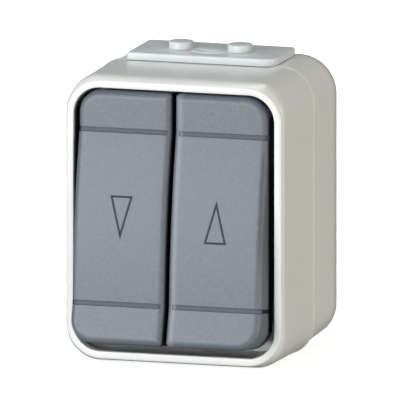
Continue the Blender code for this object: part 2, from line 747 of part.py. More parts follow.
def side_levels(grooved):
    """Heights of the points along a key's long side, from the lower corner up."""
    top = rocker_end - ROCKER_CORNER
    half = GROOVE_WIDTH / 2
    upper = [groove_place * step / 5 for step in range(1, 5)]
    if grooved:
        near = groove_place - half
        far = groove_place + half
        upper += [near, near + GROOVE_SLOPE, far - GROOVE_SLOPE, far]
    else:
        upper.append(groove_place)
    upper = [level for level in upper if level < top - SEAT]
    return [-level for level in reversed(upper)] + [0.0] + upper


def key_ring(bounds, corners, insets, levels):
    """One ring round a key: its long sides at the given levels and four elliptic corners.

    The corners are the radii at its left and right side; a corner that the inset uses up
    stays as a point with a hair of radius.
    """
    left, right, end = bounds
    inset_left, inset_right, inset_end = insets
    points = []

    def arc(sign_x, sign_z):
        edge = right if sign_x > 0 else left
        inset = inset_right if sign_x > 0 else inset_left
        corner = corners[1] if sign_x > 0 else corners[0]
        radius_x = max(corner - inset, HAIR)
        radius_z = max(corner - inset_end, HAIR)
        centre_x = edge - sign_x * (inset + radius_x)
        centre_z = sign_z * (end - inset_end - radius_z)
        made = []
        for step in range(CORNER_STEPS + 1):
            angle = math.pi / 2 * step / CORNER_STEPS
            made.append((centre_x + sign_x * radius_x * math.cos(angle),
                         centre_z + sign_z * radius_z * math.sin(angle)))
        return made

    points += [(right - inset_right, level) for level in levels]
    points += arc(1, 1)
    points += list(reversed(arc(-1, 1)))
    points += [(left + inset_left, level) for level in reversed(levels)]
    points += arc(-1, -1)
    points += list(reversed(arc(1, -1)))
    return points


def key_block(name, bounds, corners, fillets, lift, rear, grooved, finish=None):
    """A key's solid: rings up its side and over its rounded edge, then strips across its front.

    The front follows front_height less the lift; each strip runs from the left side to the
    right side at one height, so it is flat.
    """
    levels = side_levels(grooved)
    bm = bmesh.new()
    rings = []
    outline = key_ring(bounds, corners, (0, 0, 0), levels)
    rings.append([bm.verts.new((x, rear, z)) for x, z in outline])
    angles = [math.pi / 2 * step / 3 for step in range(4)] if fillets else [math.pi / 2]
    for angle in angles:
        left, right, end = fillets or (0, 0, 0)
        inset = 1 - math.cos(angle) if fillets else 0
        drop = 1 - math.sin(angle)
        points = key_ring(bounds, corners, (left * inset, right * inset, end * inset), levels)
        ring = []
        for (x, z), (flat_x, flat_z) in zip(points, outline):
            on_right = flat_x > (bounds[0] + bounds[1]) / 2
            side = right if on_right else left
            corner = corners[1] if on_right else corners[0]
            on_end = max(abs(flat_z) - (bounds[2] - corner), 0.0) / corner
            radius = side + (end - side) * on_end ** 2
            grooves = grooved and angle > 0
            height = front_height(flat_z if abs(flat_z) < bounds[2] - corner else z, grooves)
            ring.append(bm.verts.new((x, -(height - lift) + radius * drop, z)))
        rings.append(ring)
    count = len(outline)
    bm.faces.new(rings[0])
    for first, second in zip(rings, rings[1:]):
        for i in range(count):
            j = (i + 1) % count
            bm.faces.new((first[i], first[j], second[j], second[i]))
    front = rings[-1]
    half = len(levels) + CORNER_STEPS + 1
    lower = CORNER_STEPS + 1
    right_side = front[-lower:] + front[:half]
    left_side = list(reversed(front[half:-lower]))
    for i in range(len(right_side) - 1):
        bm.faces.new((right_side[i], left_side[i], left_side[i + 1], right_side[i + 1]))
    return mesh_object(name, bm, finish)


def rocker(side, word):
    """One key cap: crowned front with two grooves, hollow behind, with clip ribs inside."""
    inner = side * rocker_inner
    outer = side * rocker_outer
    bounds = (min(inner, outer), max(inner, outer), rocker_end)
    fillets = (GAP_FILLET, SIDE_FILLET, END_FILLET)
    corners = (ROCKER_GAP_CORNER, ROCKER_CORNER)
    if side < 0:
        fillets = (SIDE_FILLET, GAP_FILLET, END_FILLET)
        corners = (ROCKER_CORNER, ROCKER_GAP_CORNER)
    inner_corners = [max(corner - ROCKER_WALL, HAIR) for corner in corners]
    key = key_block("rocker_" + word, bounds, corners, fillets, 0.0, ROCKER_SKIRT, True,
                    KEY_PLASTIC)
    hollow_bounds = (bounds[0] + ROCKER_WALL, bounds[1] - ROCKER_WALL, rocker_end - ROCKER_WALL)
    hollow = key_block("key_hollow", hollow_bounds, inner_corners, None, ROCKER_SKIN,
                       ROCKER_SKIRT + OVER, False)
    cut(key, hollow)
    tools = [hollow]
    for sign in (-1, 1):
        near = PLATFORM_HALF_HEIGHT + SEAT
        zs = sorted((sign * near, sign * (near + RIB)))
        rib = box("clip_rib", (hollow_bounds[0] - ROCKER_WALL / 2,
                               -(ROCKER_CROWN - ROCKER_SKIN / 2 - CROWN_SAGITTA / 4), zs[0]),
                  (hollow_bounds[1] + ROCKER_WALL / 2, -RIB_REAR, zs[1]))
        join(key, rib)
        tools.append(rib)
    xs = sorted((inner - side * OVER, inner + side * (ROCKER_WALL + OVER)))
    arch = box("arch", (xs[0], -platform_rear(), -ARCH_HALF_HEIGHT),
               (xs[1], ROCKER_SKIRT + OVER, ARCH_HALF_HEIGHT))
    cut(key, arch)
    tools.append(arch)
    return [key] + tools


def platform_rear():
    """Distance of the platform's rear face from the axis, clear of the lugs."""
    return LUG_RADIUS + 2 * SEAT


def cradle(side, word):
    """Carrier of a key cap: platform, hub on the pin, and a tube for the plunger."""
    middle = side * rocker_middle
    near = side * (rocker_inner + ROCKER_WALL + PLATFORM_SIDE_GAP)
    far = side * (rocker_outer - ROCKER_WALL - PLATFORM_SIDE_GAP)
    xs = sorted((near, far))
    front = ROCKER_CROWN - ROCKER_SKIN - 2 * SEAT
    body = box("cradle_" + word, (xs[0], -front, -PLATFORM_HALF_HEIGHT),
               (xs[1], -platform_rear(), PLATFORM_HALF_HEIGHT), FRAME_PLASTIC)
    hub_far = side * (outer_lug() - LUG_THICKNESS / 2 - 2 * SEAT)
    hub = rod("hub", (near, 0, 0), (hub_far, 0, 0), HUB_RADIUS)
    neck_xs = sorted((near, hub_far))
    neck = box("hub_neck", (neck_xs[0], -front + OVER, -HUB_RADIUS),
               (neck_xs[1], 0, HUB_RADIUS))
    tube = rod("tube", (middle, 0, 0), (middle, TUBE_LENGTH, 0), HUB_RADIUS)
    pin_bore = rod("cradle_bore", (near - side * OVER, 0, 0), (far + side * OVER, 0, 0), pin_hole)
    bore = rod("plunger_bore", (middle, BORE_BOTTOM, 0), (middle, TUBE_LENGTH + OVER, 0),
               PLUNGER_RADIUS + SEAT)
    for tool in (hub, neck, tube):
        join(body, tool)
    for tool in (pin_bore, bore):
        cut(body, tool)
    return [body, hub, neck, tube, pin_bore, bore]


def plunger(side, word):
    """Hollow plunger with a ball end, turned; it slides in the cradle's tube."""
    profile = [(0.0, -PLUNGER_HOLE_BOTTOM), (PLUNGER_HOLE_RADIUS, -PLUNGER_HOLE_BOTTOM),
               (PLUNGER_HOLE_RADIUS, -PLUNGER_REAR), (PLUNGER_RADIUS, -PLUNGER_REAR)]
    centre = PLUNGER_REACH - PLUNGER_RADIUS
    for step in range(5):
        angle = math.pi / 2 * step / 4
        profile.append((PLUNGER_RADIUS * math.cos(angle) if step < 4 else 0.0,
                        -centre - PLUNGER_RADIUS * math.sin(angle)))
    matrix = Matrix.Translation((side * rocker_middle, 0, 0)) @ Matrix.Rotation(math.pi / 2, 4, "X")
    return turned("plunger_" + word, profile, matrix, INSERT_PLASTIC)


def spring(side, word):
    """Coil spring in the plunger, with room for the plunger's travel."""
    start = BORE_BOTTOM + SEAT + SPRING_WIRE / 2
    end = PLUNGER_HOLE_BOTTOM - PLUNGER_TRAVEL - SEAT - SPRING_WIRE / 2
    count = int(SPRING_TURNS * 10)
    curve = bpy.data.curves.new("spring_" + word, "CURVE")
    curve.dimensions = "3D"
    curve.bevel_depth = SPRING_WIRE / 2
    curve.bevel_resolution = 2
    curve.use_fill_caps = True
    line = curve.splines.new("POLY")
    line.points.add(count)
    for step, point in enumerate(line.points):
        angle = 2 * math.pi * SPRING_TURNS * step / count
        point.co = (SPRING_RADIUS * math.cos(angle), start + (end - start) * step / count,
                    SPRING_RADIUS * math.sin(angle), 1.0)
    curve.materials.append(STEEL)
    item = bpy.data.objects.new("spring_" + word, curve)
    item.location = (side * rocker_middle, 0, 0)
    parts.objects.link(item)
    return item


def rockers():
    """Both rockers with what turns with them, tilted to rest: pressed in at the top."""
    for side, word in ((-1, "left"), (1, "right")):
        axis = pivot_empty("rocker_axis_" + word, (0, at_depth(PIVOT_DEPTH), 0), -REST_TILT)
        carry(axis, *rocker(side, word), *cradle(side, word), plunger(side, word),
              spring(side, word))


# Switch insert

def insert_body():
    """Insulating block with two contact chambers, a feed channel and three terminal pockets."""
    outline = rounded_rectangle(insert_x, insert_z, INSERT_CORNER, 3)
    body = slab("insert_body", outline, INSERT_DEPTH,
                facing_front((insert_front + insert_rear) / 2), INSERT_PLASTIC)
    mouth = insert_front - OVER
    for side in (-1, 1):
        middle = side * rocker_middle
        xs = (middle - CHAMBER_WIDTH / 2, middle + CHAMBER_WIDTH / 2)
        cut(body, depth_box("chamber", xs, (mouth, ledge_depth),
                            (-chamber_z, chamber_z)))
        cut(body, depth_box("chamber_floor", xs, (mouth, insert_floor),
                            (-lower_ledge_z, upper_ledge_z)))
        lever_rear = lever_axis + lever_end * math.sin(LEVER_TILT)
        top = -lower_ledge_z - SEAT
        join(body, depth_box("stop", (middle - STOP_WIDTH / 2, middle + STOP_WIDTH / 2),
                             (lever_rear + SEAT, ledge_depth + OVER),
                             (top - STOP_HEIGHT, top)))
        cut(body, depth_box("strip_slot", (middle - STRIP_WIDTH / 2 - SEAT,
                                           middle + STRIP_WIDTH / 2 + SEAT),
                            (rivet_front, ledge_depth), (chamber_z - OVER,
                                                         pocket_bottom + OVER)))
        x = side * frame_screw_x
        z = side * frame_screw_z
        cut(body, rod("insert_hole", (x, at_depth(mouth), z),
                      (x, at_depth(insert_front + FRAME_SCREW_LENGTH), z),
                      SCREW_RADIUS + SEAT, steps=12))
        ear_z = sorted((-side * (insert_z - OVER), -side * ear_reach))
        ear_x = side * ear_place
        join(body, depth_box("ear", (ear_x - EAR_WIDTH / 2, ear_x + EAR_WIDTH / 2),
                             (insert_floor, insert_rear), ear_z))
        cut(body, rod("ear_hole", (ear_x, at_depth(insert_floor - OVER), -side * ear_screw_z),
                      (ear_x, at_depth(insert_rear + OVER), -side * ear_screw_z),
                      SCREW_RADIUS + SEAT, steps=12))
    feed_front = lever_axis
    half_span = feed_x + SEAT
    half_height = FEED_HALF_HEIGHT + SEAT
    half_tongue = FEED_TONGUE_WIDTH / 2 + SEAT
    cut(body, depth_box("feed_channel", (-half_span, half_span), (mouth, insert_floor),
                        (-half_height, half_height)))
    cut(body, depth_box("tongue_channel", (-half_tongue, half_tongue),
                        (feed_front, insert_floor), (0, pocket_bottom + OVER)))
    for number in (-1, 0, 1):
        middle = number * rocker_middle
        cut(body, depth_box("pocket", (middle - POCKET_WIDTH / 2, middle + POCKET_WIDTH / 2),
                            (mouth, insert_front + POCKET_DEPTH),
                            (pocket_bottom, insert_z + OVER)))


def feed_bar():
    """Folded brass bar: a cross piece with two knife edges and a tongue to its terminal."""
    rear = insert_floor - SEAT
    front = rear - FEED_THICKNESS
    top = pocket_bottom
    bar = depth_box("feed_bar", (-feed_x, feed_x), (front, rear),
                    (-FEED_HALF_HEIGHT, FEED_HALF_HEIGHT), BRASS)
    half = FEED_TONGUE_WIDTH / 2
    join(bar, depth_box("tongue", (-half, half), (front, rear), (0, top)))
    edge = lever_axis
    half_edge = FEED_THICKNESS / 2
    wedge = [(at_depth(front + half_edge), -half_edge), (at_depth(front + half_edge), half_edge),
             (at_depth(edge + EDGE_TAPER), half_edge), (at_depth(edge), 0.0),
             (at_depth(edge + EDGE_TAPER), -half_edge)]
    for side in (-1, 1):
        middle = side * rocker_middle
        join(bar, slab("knife_edge", wedge, LEVER_WIDTH + 2 * SEAT, facing_side(middle)))
        for hand in (-1, 1):
            near = middle + hand * (LEVER_WIDTH / 2 + SEAT)
            xs = sorted((near, near + hand * EAR_OF_FORK))
            join(bar, depth_box("fork_ear", xs, (edge - FORK_REACH, front + half_edge),
                                (-half_edge, half_edge)))


def fixed_contact(side, word):
    """Brass strip on the chamber's ledge with a silver rivet towards the lever."""
    middle = side * rocker_middle
    strip = depth_box("fixed_contact_" + word,
                      (middle - STRIP_WIDTH / 2, middle + STRIP_WIDTH / 2),
                      (strip_front, strip_front + STRIP_THICKNESS), (strip_bottom, strip_top),
                      BRASS)
    join(strip, rod("fixed_rivet", (middle, at_depth(rivet_front), rivet_z),
                    (middle, at_depth(strip_front + STRIP_THICKNESS / 2), rivet_z),
                    RIVET_RADIUS))


def contact_lever(side, word):
    """See-saw contact with a groove for the knife edge; modelled on its axis, then tilted."""
    outline = [(-LEVER_THICKNESS, -lever_end), (-LEVER_THICKNESS, lever_end),
               (0, lever_end), (0, LEVER_GROOVE_HALF), (-LEVER_GROOVE, 0),
               (0, -LEVER_GROOVE_HALF), (0, -lever_end)]
    middle = side * rocker_middle
    lever = slab("contact_lever_" + word, outline, LEVER_WIDTH, facing_side(middle), BRASS)
    rivet = rod("moving_rivet", (middle, -LEVER_THICKNESS / 2, rivet_z),
                (middle, RIVET_HEIGHT, rivet_z), RIVET_RADIUS)
    join(lever, rivet)
    axis = pivot_empty("lever_axis_" + word, (0, at_depth(lever_axis), 0), LEVER_TILT)
    carry(axis, lever, rivet)


def terminal(number, word):
    """Brass cage in its pocket, open upwards for the wire, and its clamp screw."""
    middle = number * rocker_middle
    front = insert_front + CAGE_SETBACK
    low = pocket_bottom + 2 * SEAT
    cage = depth_box("terminal_" + word, (middle - CAGE_WIDTH / 2, middle + CAGE_WIDTH / 2),
                     (front, front + CAGE_DEPTH), (low, low + CAGE_HEIGHT), BRASS)
    half = CAGE_WIRE_HOLE / 2
    wire = front + CAGE_DEPTH / 2 + SCREW_RADIUS / 2
    cut(cage, depth_box("wire_hole", (middle - half, middle + half), (wire - half, wire + half),
                        (low - OVER, low + CAGE_HEIGHT + OVER)))
    z = low + CAGE_HEIGHT / 2
    cut(cage, rod("clamp_hole", (middle, at_depth(front - OVER), z),
                  (middle, at_depth(wire), z), SCREW_RADIUS + SEAT, steps=12))
    screw("terminal_screw_" + word, middle, front - SEAT, z, SCREW_HEAD_HEIGHT,
          TERMINAL_SCREW_LENGTH)


# Screws

def screw(name, x, seat_depth, z, head, length):
    """Cheese head screw pointing backwards; its head's rear face lies at the seat depth."""
    profile = [(0.0, head), (SCREW_HEAD_RADIUS, head), (SCREW_HEAD_RADIUS, 0.0),
               (SCREW_RADIUS, 0.0), (SCREW_RADIUS, -length), (0.0, -length)]
    matrix = (Matrix.Translation((x, at_depth(seat_depth), z))
              @ Matrix.Rotation(math.pi / 2, 4, "X"))
    item = turned(name, profile, matrix, STEEL, steps=16)
    half = SCREW_SLOT_WIDTH / 2
    wide = SCREW_HEAD_RADIUS + OVER
    cut(item, depth_box("screw_slot", (x - wide, x + wide),
                        (seat_depth - head - OVER, seat_depth - head + SCREW_SLOT_DEPTH),
                        (z - half, z + half)))


def screws():
    """The screws of the insert and of the rocker frame."""
    for sign, word in ((1, "upper"), (-1, "lower")):
        screw("insert_screw_" + word, -sign * ear_place, insert_floor - SEAT, sign * ear_screw_z,
              SCREW_HEAD_HEIGHT, INSERT_SCREW_LENGTH)
        screw("frame_screw_" + word, sign * frame_screw_x, web_front - SEAT,
              sign * frame_screw_z, FRAME_SCREW_HEAD, FRAME_SCREW_LENGTH)


front_cover()
base_box()
cover_seal()
entry_plate()
entry_seal()
rocker_frame()
pivot_pin()
rockers()
insert_body()
feed_bar()
for hand, word in ((-1, "left"), (1, "right")):
    fixed_contact(hand, word)
    contact_lever(hand, word)
for number, word in ((-1, "left"), (0, "common"), (1, "right")):
    terminal(number, word)
screws()
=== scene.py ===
"""Surface mounted roller shutter switch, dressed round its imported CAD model."""
import math

import bmesh
import bpy
import numpy as np
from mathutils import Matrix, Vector


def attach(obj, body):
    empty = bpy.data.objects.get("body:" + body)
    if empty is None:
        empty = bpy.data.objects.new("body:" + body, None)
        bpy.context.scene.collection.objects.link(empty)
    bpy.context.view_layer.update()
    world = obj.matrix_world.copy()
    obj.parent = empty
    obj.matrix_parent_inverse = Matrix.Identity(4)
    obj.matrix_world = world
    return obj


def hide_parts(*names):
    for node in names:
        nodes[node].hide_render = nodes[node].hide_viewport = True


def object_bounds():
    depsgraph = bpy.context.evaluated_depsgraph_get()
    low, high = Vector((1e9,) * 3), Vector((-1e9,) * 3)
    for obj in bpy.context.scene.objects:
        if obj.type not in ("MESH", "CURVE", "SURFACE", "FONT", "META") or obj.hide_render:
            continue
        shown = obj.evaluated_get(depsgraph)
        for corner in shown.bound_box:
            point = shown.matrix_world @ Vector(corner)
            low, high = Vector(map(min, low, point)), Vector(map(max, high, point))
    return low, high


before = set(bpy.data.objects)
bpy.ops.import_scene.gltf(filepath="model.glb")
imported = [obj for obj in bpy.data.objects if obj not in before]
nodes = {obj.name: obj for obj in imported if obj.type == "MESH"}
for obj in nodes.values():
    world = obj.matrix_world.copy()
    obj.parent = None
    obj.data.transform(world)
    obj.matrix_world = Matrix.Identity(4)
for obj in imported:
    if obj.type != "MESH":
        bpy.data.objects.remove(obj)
cad_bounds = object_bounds()


# ---------------------------------------------------------------- base box
# The rear half of the housing, which is screwed to the wall. Moulded in light grey plastic, a
# cup with a thin spigot that the front cover snaps over, and a flat pad for the entry plate.

mm = 0.001
WALL_DEPTH = 52.0          # millimetres from the front lip to the wall
JOINT_DEPTH = 30.0         # from the front lip to the joint of cover and base
FINE = 18                  # steps in a quarter turn of an outer corner


def corner_outline(half_x, half_z, radius, steps=FINE, straight=8):
    """Rounded rectangle as an array of points (x, z), anticlockwise from the right side's middle.

    Each corner is a quarter circle of the given radius; each side is cut in equal lengths.
    """
    turn = np.linspace(0.0, math.pi / 2, steps + 1)
    along = np.linspace(0.0, 1.0, straight + 1)[1:-1]
    corners = []
    for quarter, (sx, sz) in enumerate([(1, 1), (-1, 1), (-1, -1), (1, -1)]):
        angle = turn + quarter * math.pi / 2
        corners.append(np.column_stack([sx * (half_x - radius) + radius * np.cos(angle),
                                        sz * (half_z - radius) + radius * np.sin(angle)]))
    pieces = []
    for this, following in zip(corners, corners[1:] + corners[:1]):
        start, end = this[-1], following[0]
        pieces += [this, start + along[:, None] * (end - start)]
    return np.vstack(pieces)


def swept_rings(sections):
    """Stack of outlines: each section (depth, half x, half z, radius), in millimetres, gives the
    rounded rectangle of that size at that depth behind the lip."""
    rings = []
    for depth, half_x, half_z, radius in sections:
        flat = corner_outline(half_x, half_z, radius)
        rings.append(np.column_stack([flat[:, 0], np.full(len(flat), depth - WALL_DEPTH),
                                      flat[:, 1]]))
    return np.array(rings) * mm


def grid_faces(rows, columns, closed_rows, closed_columns):
    """Quads between neighbouring points of a rows by columns grid, wrapped where it is closed."""
    i = np.arange(rows if closed_rows else rows - 1)
    j = np.arange(columns if closed_columns else columns - 1)
    i, j = np.meshgrid(i, j, indexing="ij")
    down = (i + 1) % rows
    right = (j + 1) % columns
    quads = np.stack([i * columns + j, i * columns + right, down * columns + right,
                      down * columns + j], axis=-1)
    return quads.reshape(-1, 4)


def finished(name, points, faces, sharp=35):
    """A mesh object from points and faces: doubles merged, faces outwards, smooth but for edges
    sharper than the given angle."""
    bm = bmesh.new()
    raw = bpy.data.meshes.new(name)
    raw.from_pydata(points.tolist(), [], [list(face) for face in faces])
    bm.from_mesh(raw)
    bmesh.ops.remove_doubles(bm, verts=bm.verts, dist=1e-7)
    bmesh.ops.dissolve_degenerate(bm, edges=bm.edges, dist=1e-7)
    bmesh.ops.recalc_face_normals(bm, faces=bm.faces)
    bm.to_mesh(raw)
    bm.free()
    piece = bpy.data.objects.new(name, raw)
    bpy.context.scene.collection.objects.link(piece)
    raw.shade_smooth()
    raw.set_sharp_from_angle(angle=math.radians(sharp))
    return piece


def shell(name, sections, closed, sharp=35):
    """Rounded-rectangle sections joined one after another, either in a closed loop or capped."""
    rings = swept_rings(sections)
    rows, columns = rings.shape[:2]
    faces = [list(face) for face in grid_faces(rows, columns, closed, True).tolist()]
    if not closed:
        faces.append(list(range(columns)))
        faces.append(list(range((rows - 1) * columns, rows * columns)))
    return finished(name, rings.reshape(-1, 3), faces, sharp)


def block(low, high):
    """A box between two corners (x, depth, z) in millimetres."""
    low, high = np.array(low, float), np.array(high, float)
    pick = np.array([[a, b, c] for a in (0, 1) for b in (0, 1) for c in (0, 1)])
    points = low + pick * (high - low)
    points[:, 1] -= WALL_DEPTH
    faces = [(0, 1, 3, 2), (4, 6, 7, 5), (0, 4, 5, 1), (2, 3, 7, 6), (0, 2, 6, 4), (1, 5, 7, 3)]
    return finished("tool", points * mm, faces)


def turned(profile, centre, axis, steps=64):
    """Surface of revolution: profile rows (radius, height) in millimetres carried round an axis,
    "y" pointing forwards from the wall or "z" upwards, through centre (x, depth, z)."""
    radius, height = np.array(profile, float).T
    angle = np.linspace(0, 2 * math.pi, steps, endpoint=False)
    a = radius[:, None] * np.cos(angle)
    b = radius[:, None] * np.sin(angle)
    h = np.repeat(height[:, None], steps, axis=1)
    x, depth, z = centre
    stack = (x + a, depth - WALL_DEPTH - h, z + b) if axis == "y" else (
        x + a, depth - WALL_DEPTH + b, z + h)
    return finished("tool", np.stack(stack, axis=-1).reshape(-1, 3) * mm,
                    grid_faces(len(profile), steps, False, True).tolist())


def carve(piece, joins=(), cuts=(), sharp=35):
    """Join tool solids to a piece and cut others from it, then delete the tools."""
    for operation, tools in (("UNION", joins), ("DIFFERENCE", cuts)):
        for tool in tools:
            step = piece.modifiers.new("tool", "BOOLEAN")
            step.object = tool
            step.operation = operation
            step.solver = "EXACT"
    graph = bpy.context.evaluated_depsgraph_get()
    made = bpy.data.meshes.new_from_object(piece.evaluated_get(graph))
    piece.modifiers.clear()
    piece.data = made
    for tool in list(joins) + list(cuts):
        bpy.data.objects.remove(tool)
    made.shade_smooth()
    made.set_sharp_from_angle(angle=math.radians(sharp))
    return piece


def quarter(depth_reach, inset_reach, steps=5):
    """Depths and insets along a quarter ellipse that starts at 0, 0 along the depth and ends at
    the two reaches along the inset."""
    angle = np.linspace(0, math.pi / 2, steps + 1)
    return list(zip(depth_reach * np.sin(angle), inset_reach * (1 - np.cos(angle))))


def inset_of(section, amount):
    """A section made smaller all round, its corner radius too."""
    return tuple(value - amount for value in section)


# Sections are half width, half height and corner radius, in millimetres.
OUTSIDE = (33.42, 42.08, 11.0)
INSIDE = (30.35, 38.7, 8.2)
SPIGOT = (31.95, 40.7, 8.2)
SEAL_GROOVE = (31.1, 39.85, 7.35)
SPIGOT_FRONT = 24.0
SEAL_FRONT, SEAL_REAR = 26.6, 28.6
FLOOR_DEPTH = 49.5         # inner face of the rear wall
REAR_ROUNDING = 0.6
RISE_FRONT, RISE_LENGTH = 31.0, 20.0
RISE = 0.027               # share of its height that the underside rises towards the wall
sections = [(FLOOR_DEPTH, *INSIDE), (SPIGOT_FRONT, *INSIDE), (SPIGOT_FRONT, *SPIGOT),
            (SEAL_FRONT, *SPIGOT), (SEAL_FRONT, *SEAL_GROOVE), (SEAL_REAR, *SEAL_GROOVE),
            (SEAL_REAR, *SPIGOT), (JOINT_DEPTH, *SPIGOT)]
sections += [(depth, *OUTSIDE)
             for depth in (JOINT_DEPTH, 30.2, 30.8, 31.6, 36.0, 42.0, 48.0, 50.9)]
sections += [(WALL_DEPTH - REAR_ROUNDING + d, *inset_of(OUTSIDE, i))
             for d, i in quarter(REAR_ROUNDING, REAR_ROUNDING)]
base = shell("housing_base", sections, closed=False)
spots = np.array([vertex.co for vertex in base.data.vertices])
behind = np.clip((spots[:, 1] / mm + WALL_DEPTH - RISE_FRONT) / RISE_LENGTH, 0.0, 1.0)
spots[:, 2] *= np.where(spots[:, 2] < 0, 1.0 - RISE * behind, 1.0)
base.data.vertices.foreach_set("co", spots.ravel())
base.data.update()


def slot_tool(x_length, z_length, z):
    """Cutter for a round-ended fixing slot through the rear wall."""
    nearly_round = min(x_length, z_length) / 2 - 0.01
    flat = corner_outline(x_length / 2, z_length / 2, nearly_round, 10, 2)
    through = (44.0, 56.0)
    rings = [np.column_stack([flat[:, 0], np.full(len(flat), depth - WALL_DEPTH),
                              flat[:, 1] + z]) for depth in through]
    count = len(flat)
    faces = grid_faces(2, count, False, True).tolist()
    faces += [list(range(count)), list(range(count, 2 * count))]
    return finished("tool", np.vstack(rings) * mm, faces)


PLATE_HALF = 22.2          # half the width of the entry plate
PLATE_SHIFT = 0.35         # how far it lies to the left


def plate_path(inset, front, rear, steps=10):
    """The entry plate's outline seen from above, points (x, depth): a rectangle with one large
    rounded corner, front right, and three small ones."""
    right, left = PLATE_HALF - inset, inset - PLATE_HALF
    near, far = front + inset, rear - inset
    corners = [(right, near, 4.5 - inset, 1, 1), (right, far, 1.7 - inset, 1, -1),
               (left, far, 1.2 - inset, -1, -1), (left, near, 0.8 - inset, -1, 1)]
    turn = np.linspace(-math.pi / 2, 0, steps + 1)
    path = [np.column_stack([x - sx * r + r * np.cos(turn + n * math.pi / 2) - PLATE_SHIFT,
                             d + sd * r + r * np.sin(turn + n * math.pi / 2)])
            for n, (x, d, r, sx, sd) in enumerate(corners)]
    return np.vstack(path)


def prism(paths, heights):
    """Outlines seen from above stacked at heights, capped below and above."""
    rings = [np.column_stack([path[:, 0], path[:, 1] - WALL_DEPTH, np.full(len(path), height)])
             for path, height in zip(paths, heights)]
    count = len(paths[0])
    faces = grid_faces(len(rings), count, False, True).tolist()
    faces += [list(range(count)), list(range((len(rings) - 1) * count, len(rings) * count))]
    return np.vstack(rings) * mm, faces


CATCH_AT = 18.0            # the catches' height above and below the middle
CATCH_ROOT, CATCH_TIP = 31.65, 32.2       # distances from the middle plane
CATCH_FRONT, CATCH_REAR = 24.8, 26.0
CATCH_HALF = 4.0           # half a catch's length
POST_X, POST_Z = 20.0, 33.0
# Profiles are rows of radius and height, from the floor or, for the knockout, from the wall.
POST = [(0, 14.2), (3.3, 14.2), (3.6, 13.9), (3.6, -1.2), (0, -1.2)]
POST_HOLE = [(0, 18), (1.7, 18), (1.7, 4.9), (0, 4.2)]
KNOCKOUT = [(9.2, 1.2), (10.0, 1.2), (10.0, -1.0), (9.2, -1.0), (9.2, 1.2)]
KNOCKOUT_Z = 14.0
SLOT_Z = 30.0              # the fixing slots' height above and below the middle
SLOT_LONG, SLOT_WIDE = 7.0, 3.9
RAISED_LONG, RAISED_WIDE = 5.5, 3.95      # half sizes of the raised floor round a slot
RAISED_FRONT, RAISED_REAR = 48.5, 50.7
PAD_LOW, PAD_HIGH = 40.25, 42.1           # the flat pad under the entry plate
# Boxes between two corners: the opening for the plate's neck, and the seat of its seal.
OPENING = ((-15.3, 32.9, 37.0), (15.3, 44.2, 45.0))
SEAL_SEAT = ((-16.8, 31.4, 41.1), (16.8, 45.7, 45.0))

pad_points, pad_faces = prism([plate_path(0.5, 30.1, 47.7)] * 2, (PAD_LOW, PAD_HIGH))
joins = [finished("tool", pad_points, pad_faces)]
cuts = []
for side in (-1, 1):
    for middle in (-CATCH_AT, CATCH_AT):
        near, far = sorted((side * CATCH_ROOT, side * CATCH_TIP))
        joins.append(block((near, CATCH_FRONT, middle - CATCH_HALF),
                           (far, CATCH_REAR, middle + CATCH_HALF)))
    spot = (-side * POST_X, FLOOR_DEPTH, side * POST_Z)
    joins.append(turned(POST, spot, "y", 40))
    cuts.append(turned(POST_HOLE, spot, "y", 32))
joins += [block((-RAISED_LONG, RAISED_FRONT, SLOT_Z - RAISED_WIDE),
                (RAISED_LONG, RAISED_REAR, SLOT_Z + RAISED_WIDE)),
          block((-RAISED_WIDE, RAISED_FRONT, -SLOT_Z - RAISED_LONG),
                (RAISED_WIDE, RAISED_REAR, -SLOT_Z + RAISED_LONG))]
cuts += [slot_tool(SLOT_LONG, SLOT_WIDE, SLOT_Z), slot_tool(SLOT_WIDE, SLOT_LONG, -SLOT_Z)]
cuts.append(turned(KNOCKOUT, (0, WALL_DEPTH, KNOCKOUT_Z), "y", 72))
cuts += [block(*OPENING), block(*SEAL_SEAT)]
carve(base, joins, cuts)
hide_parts("base_box")
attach(base, "housing")


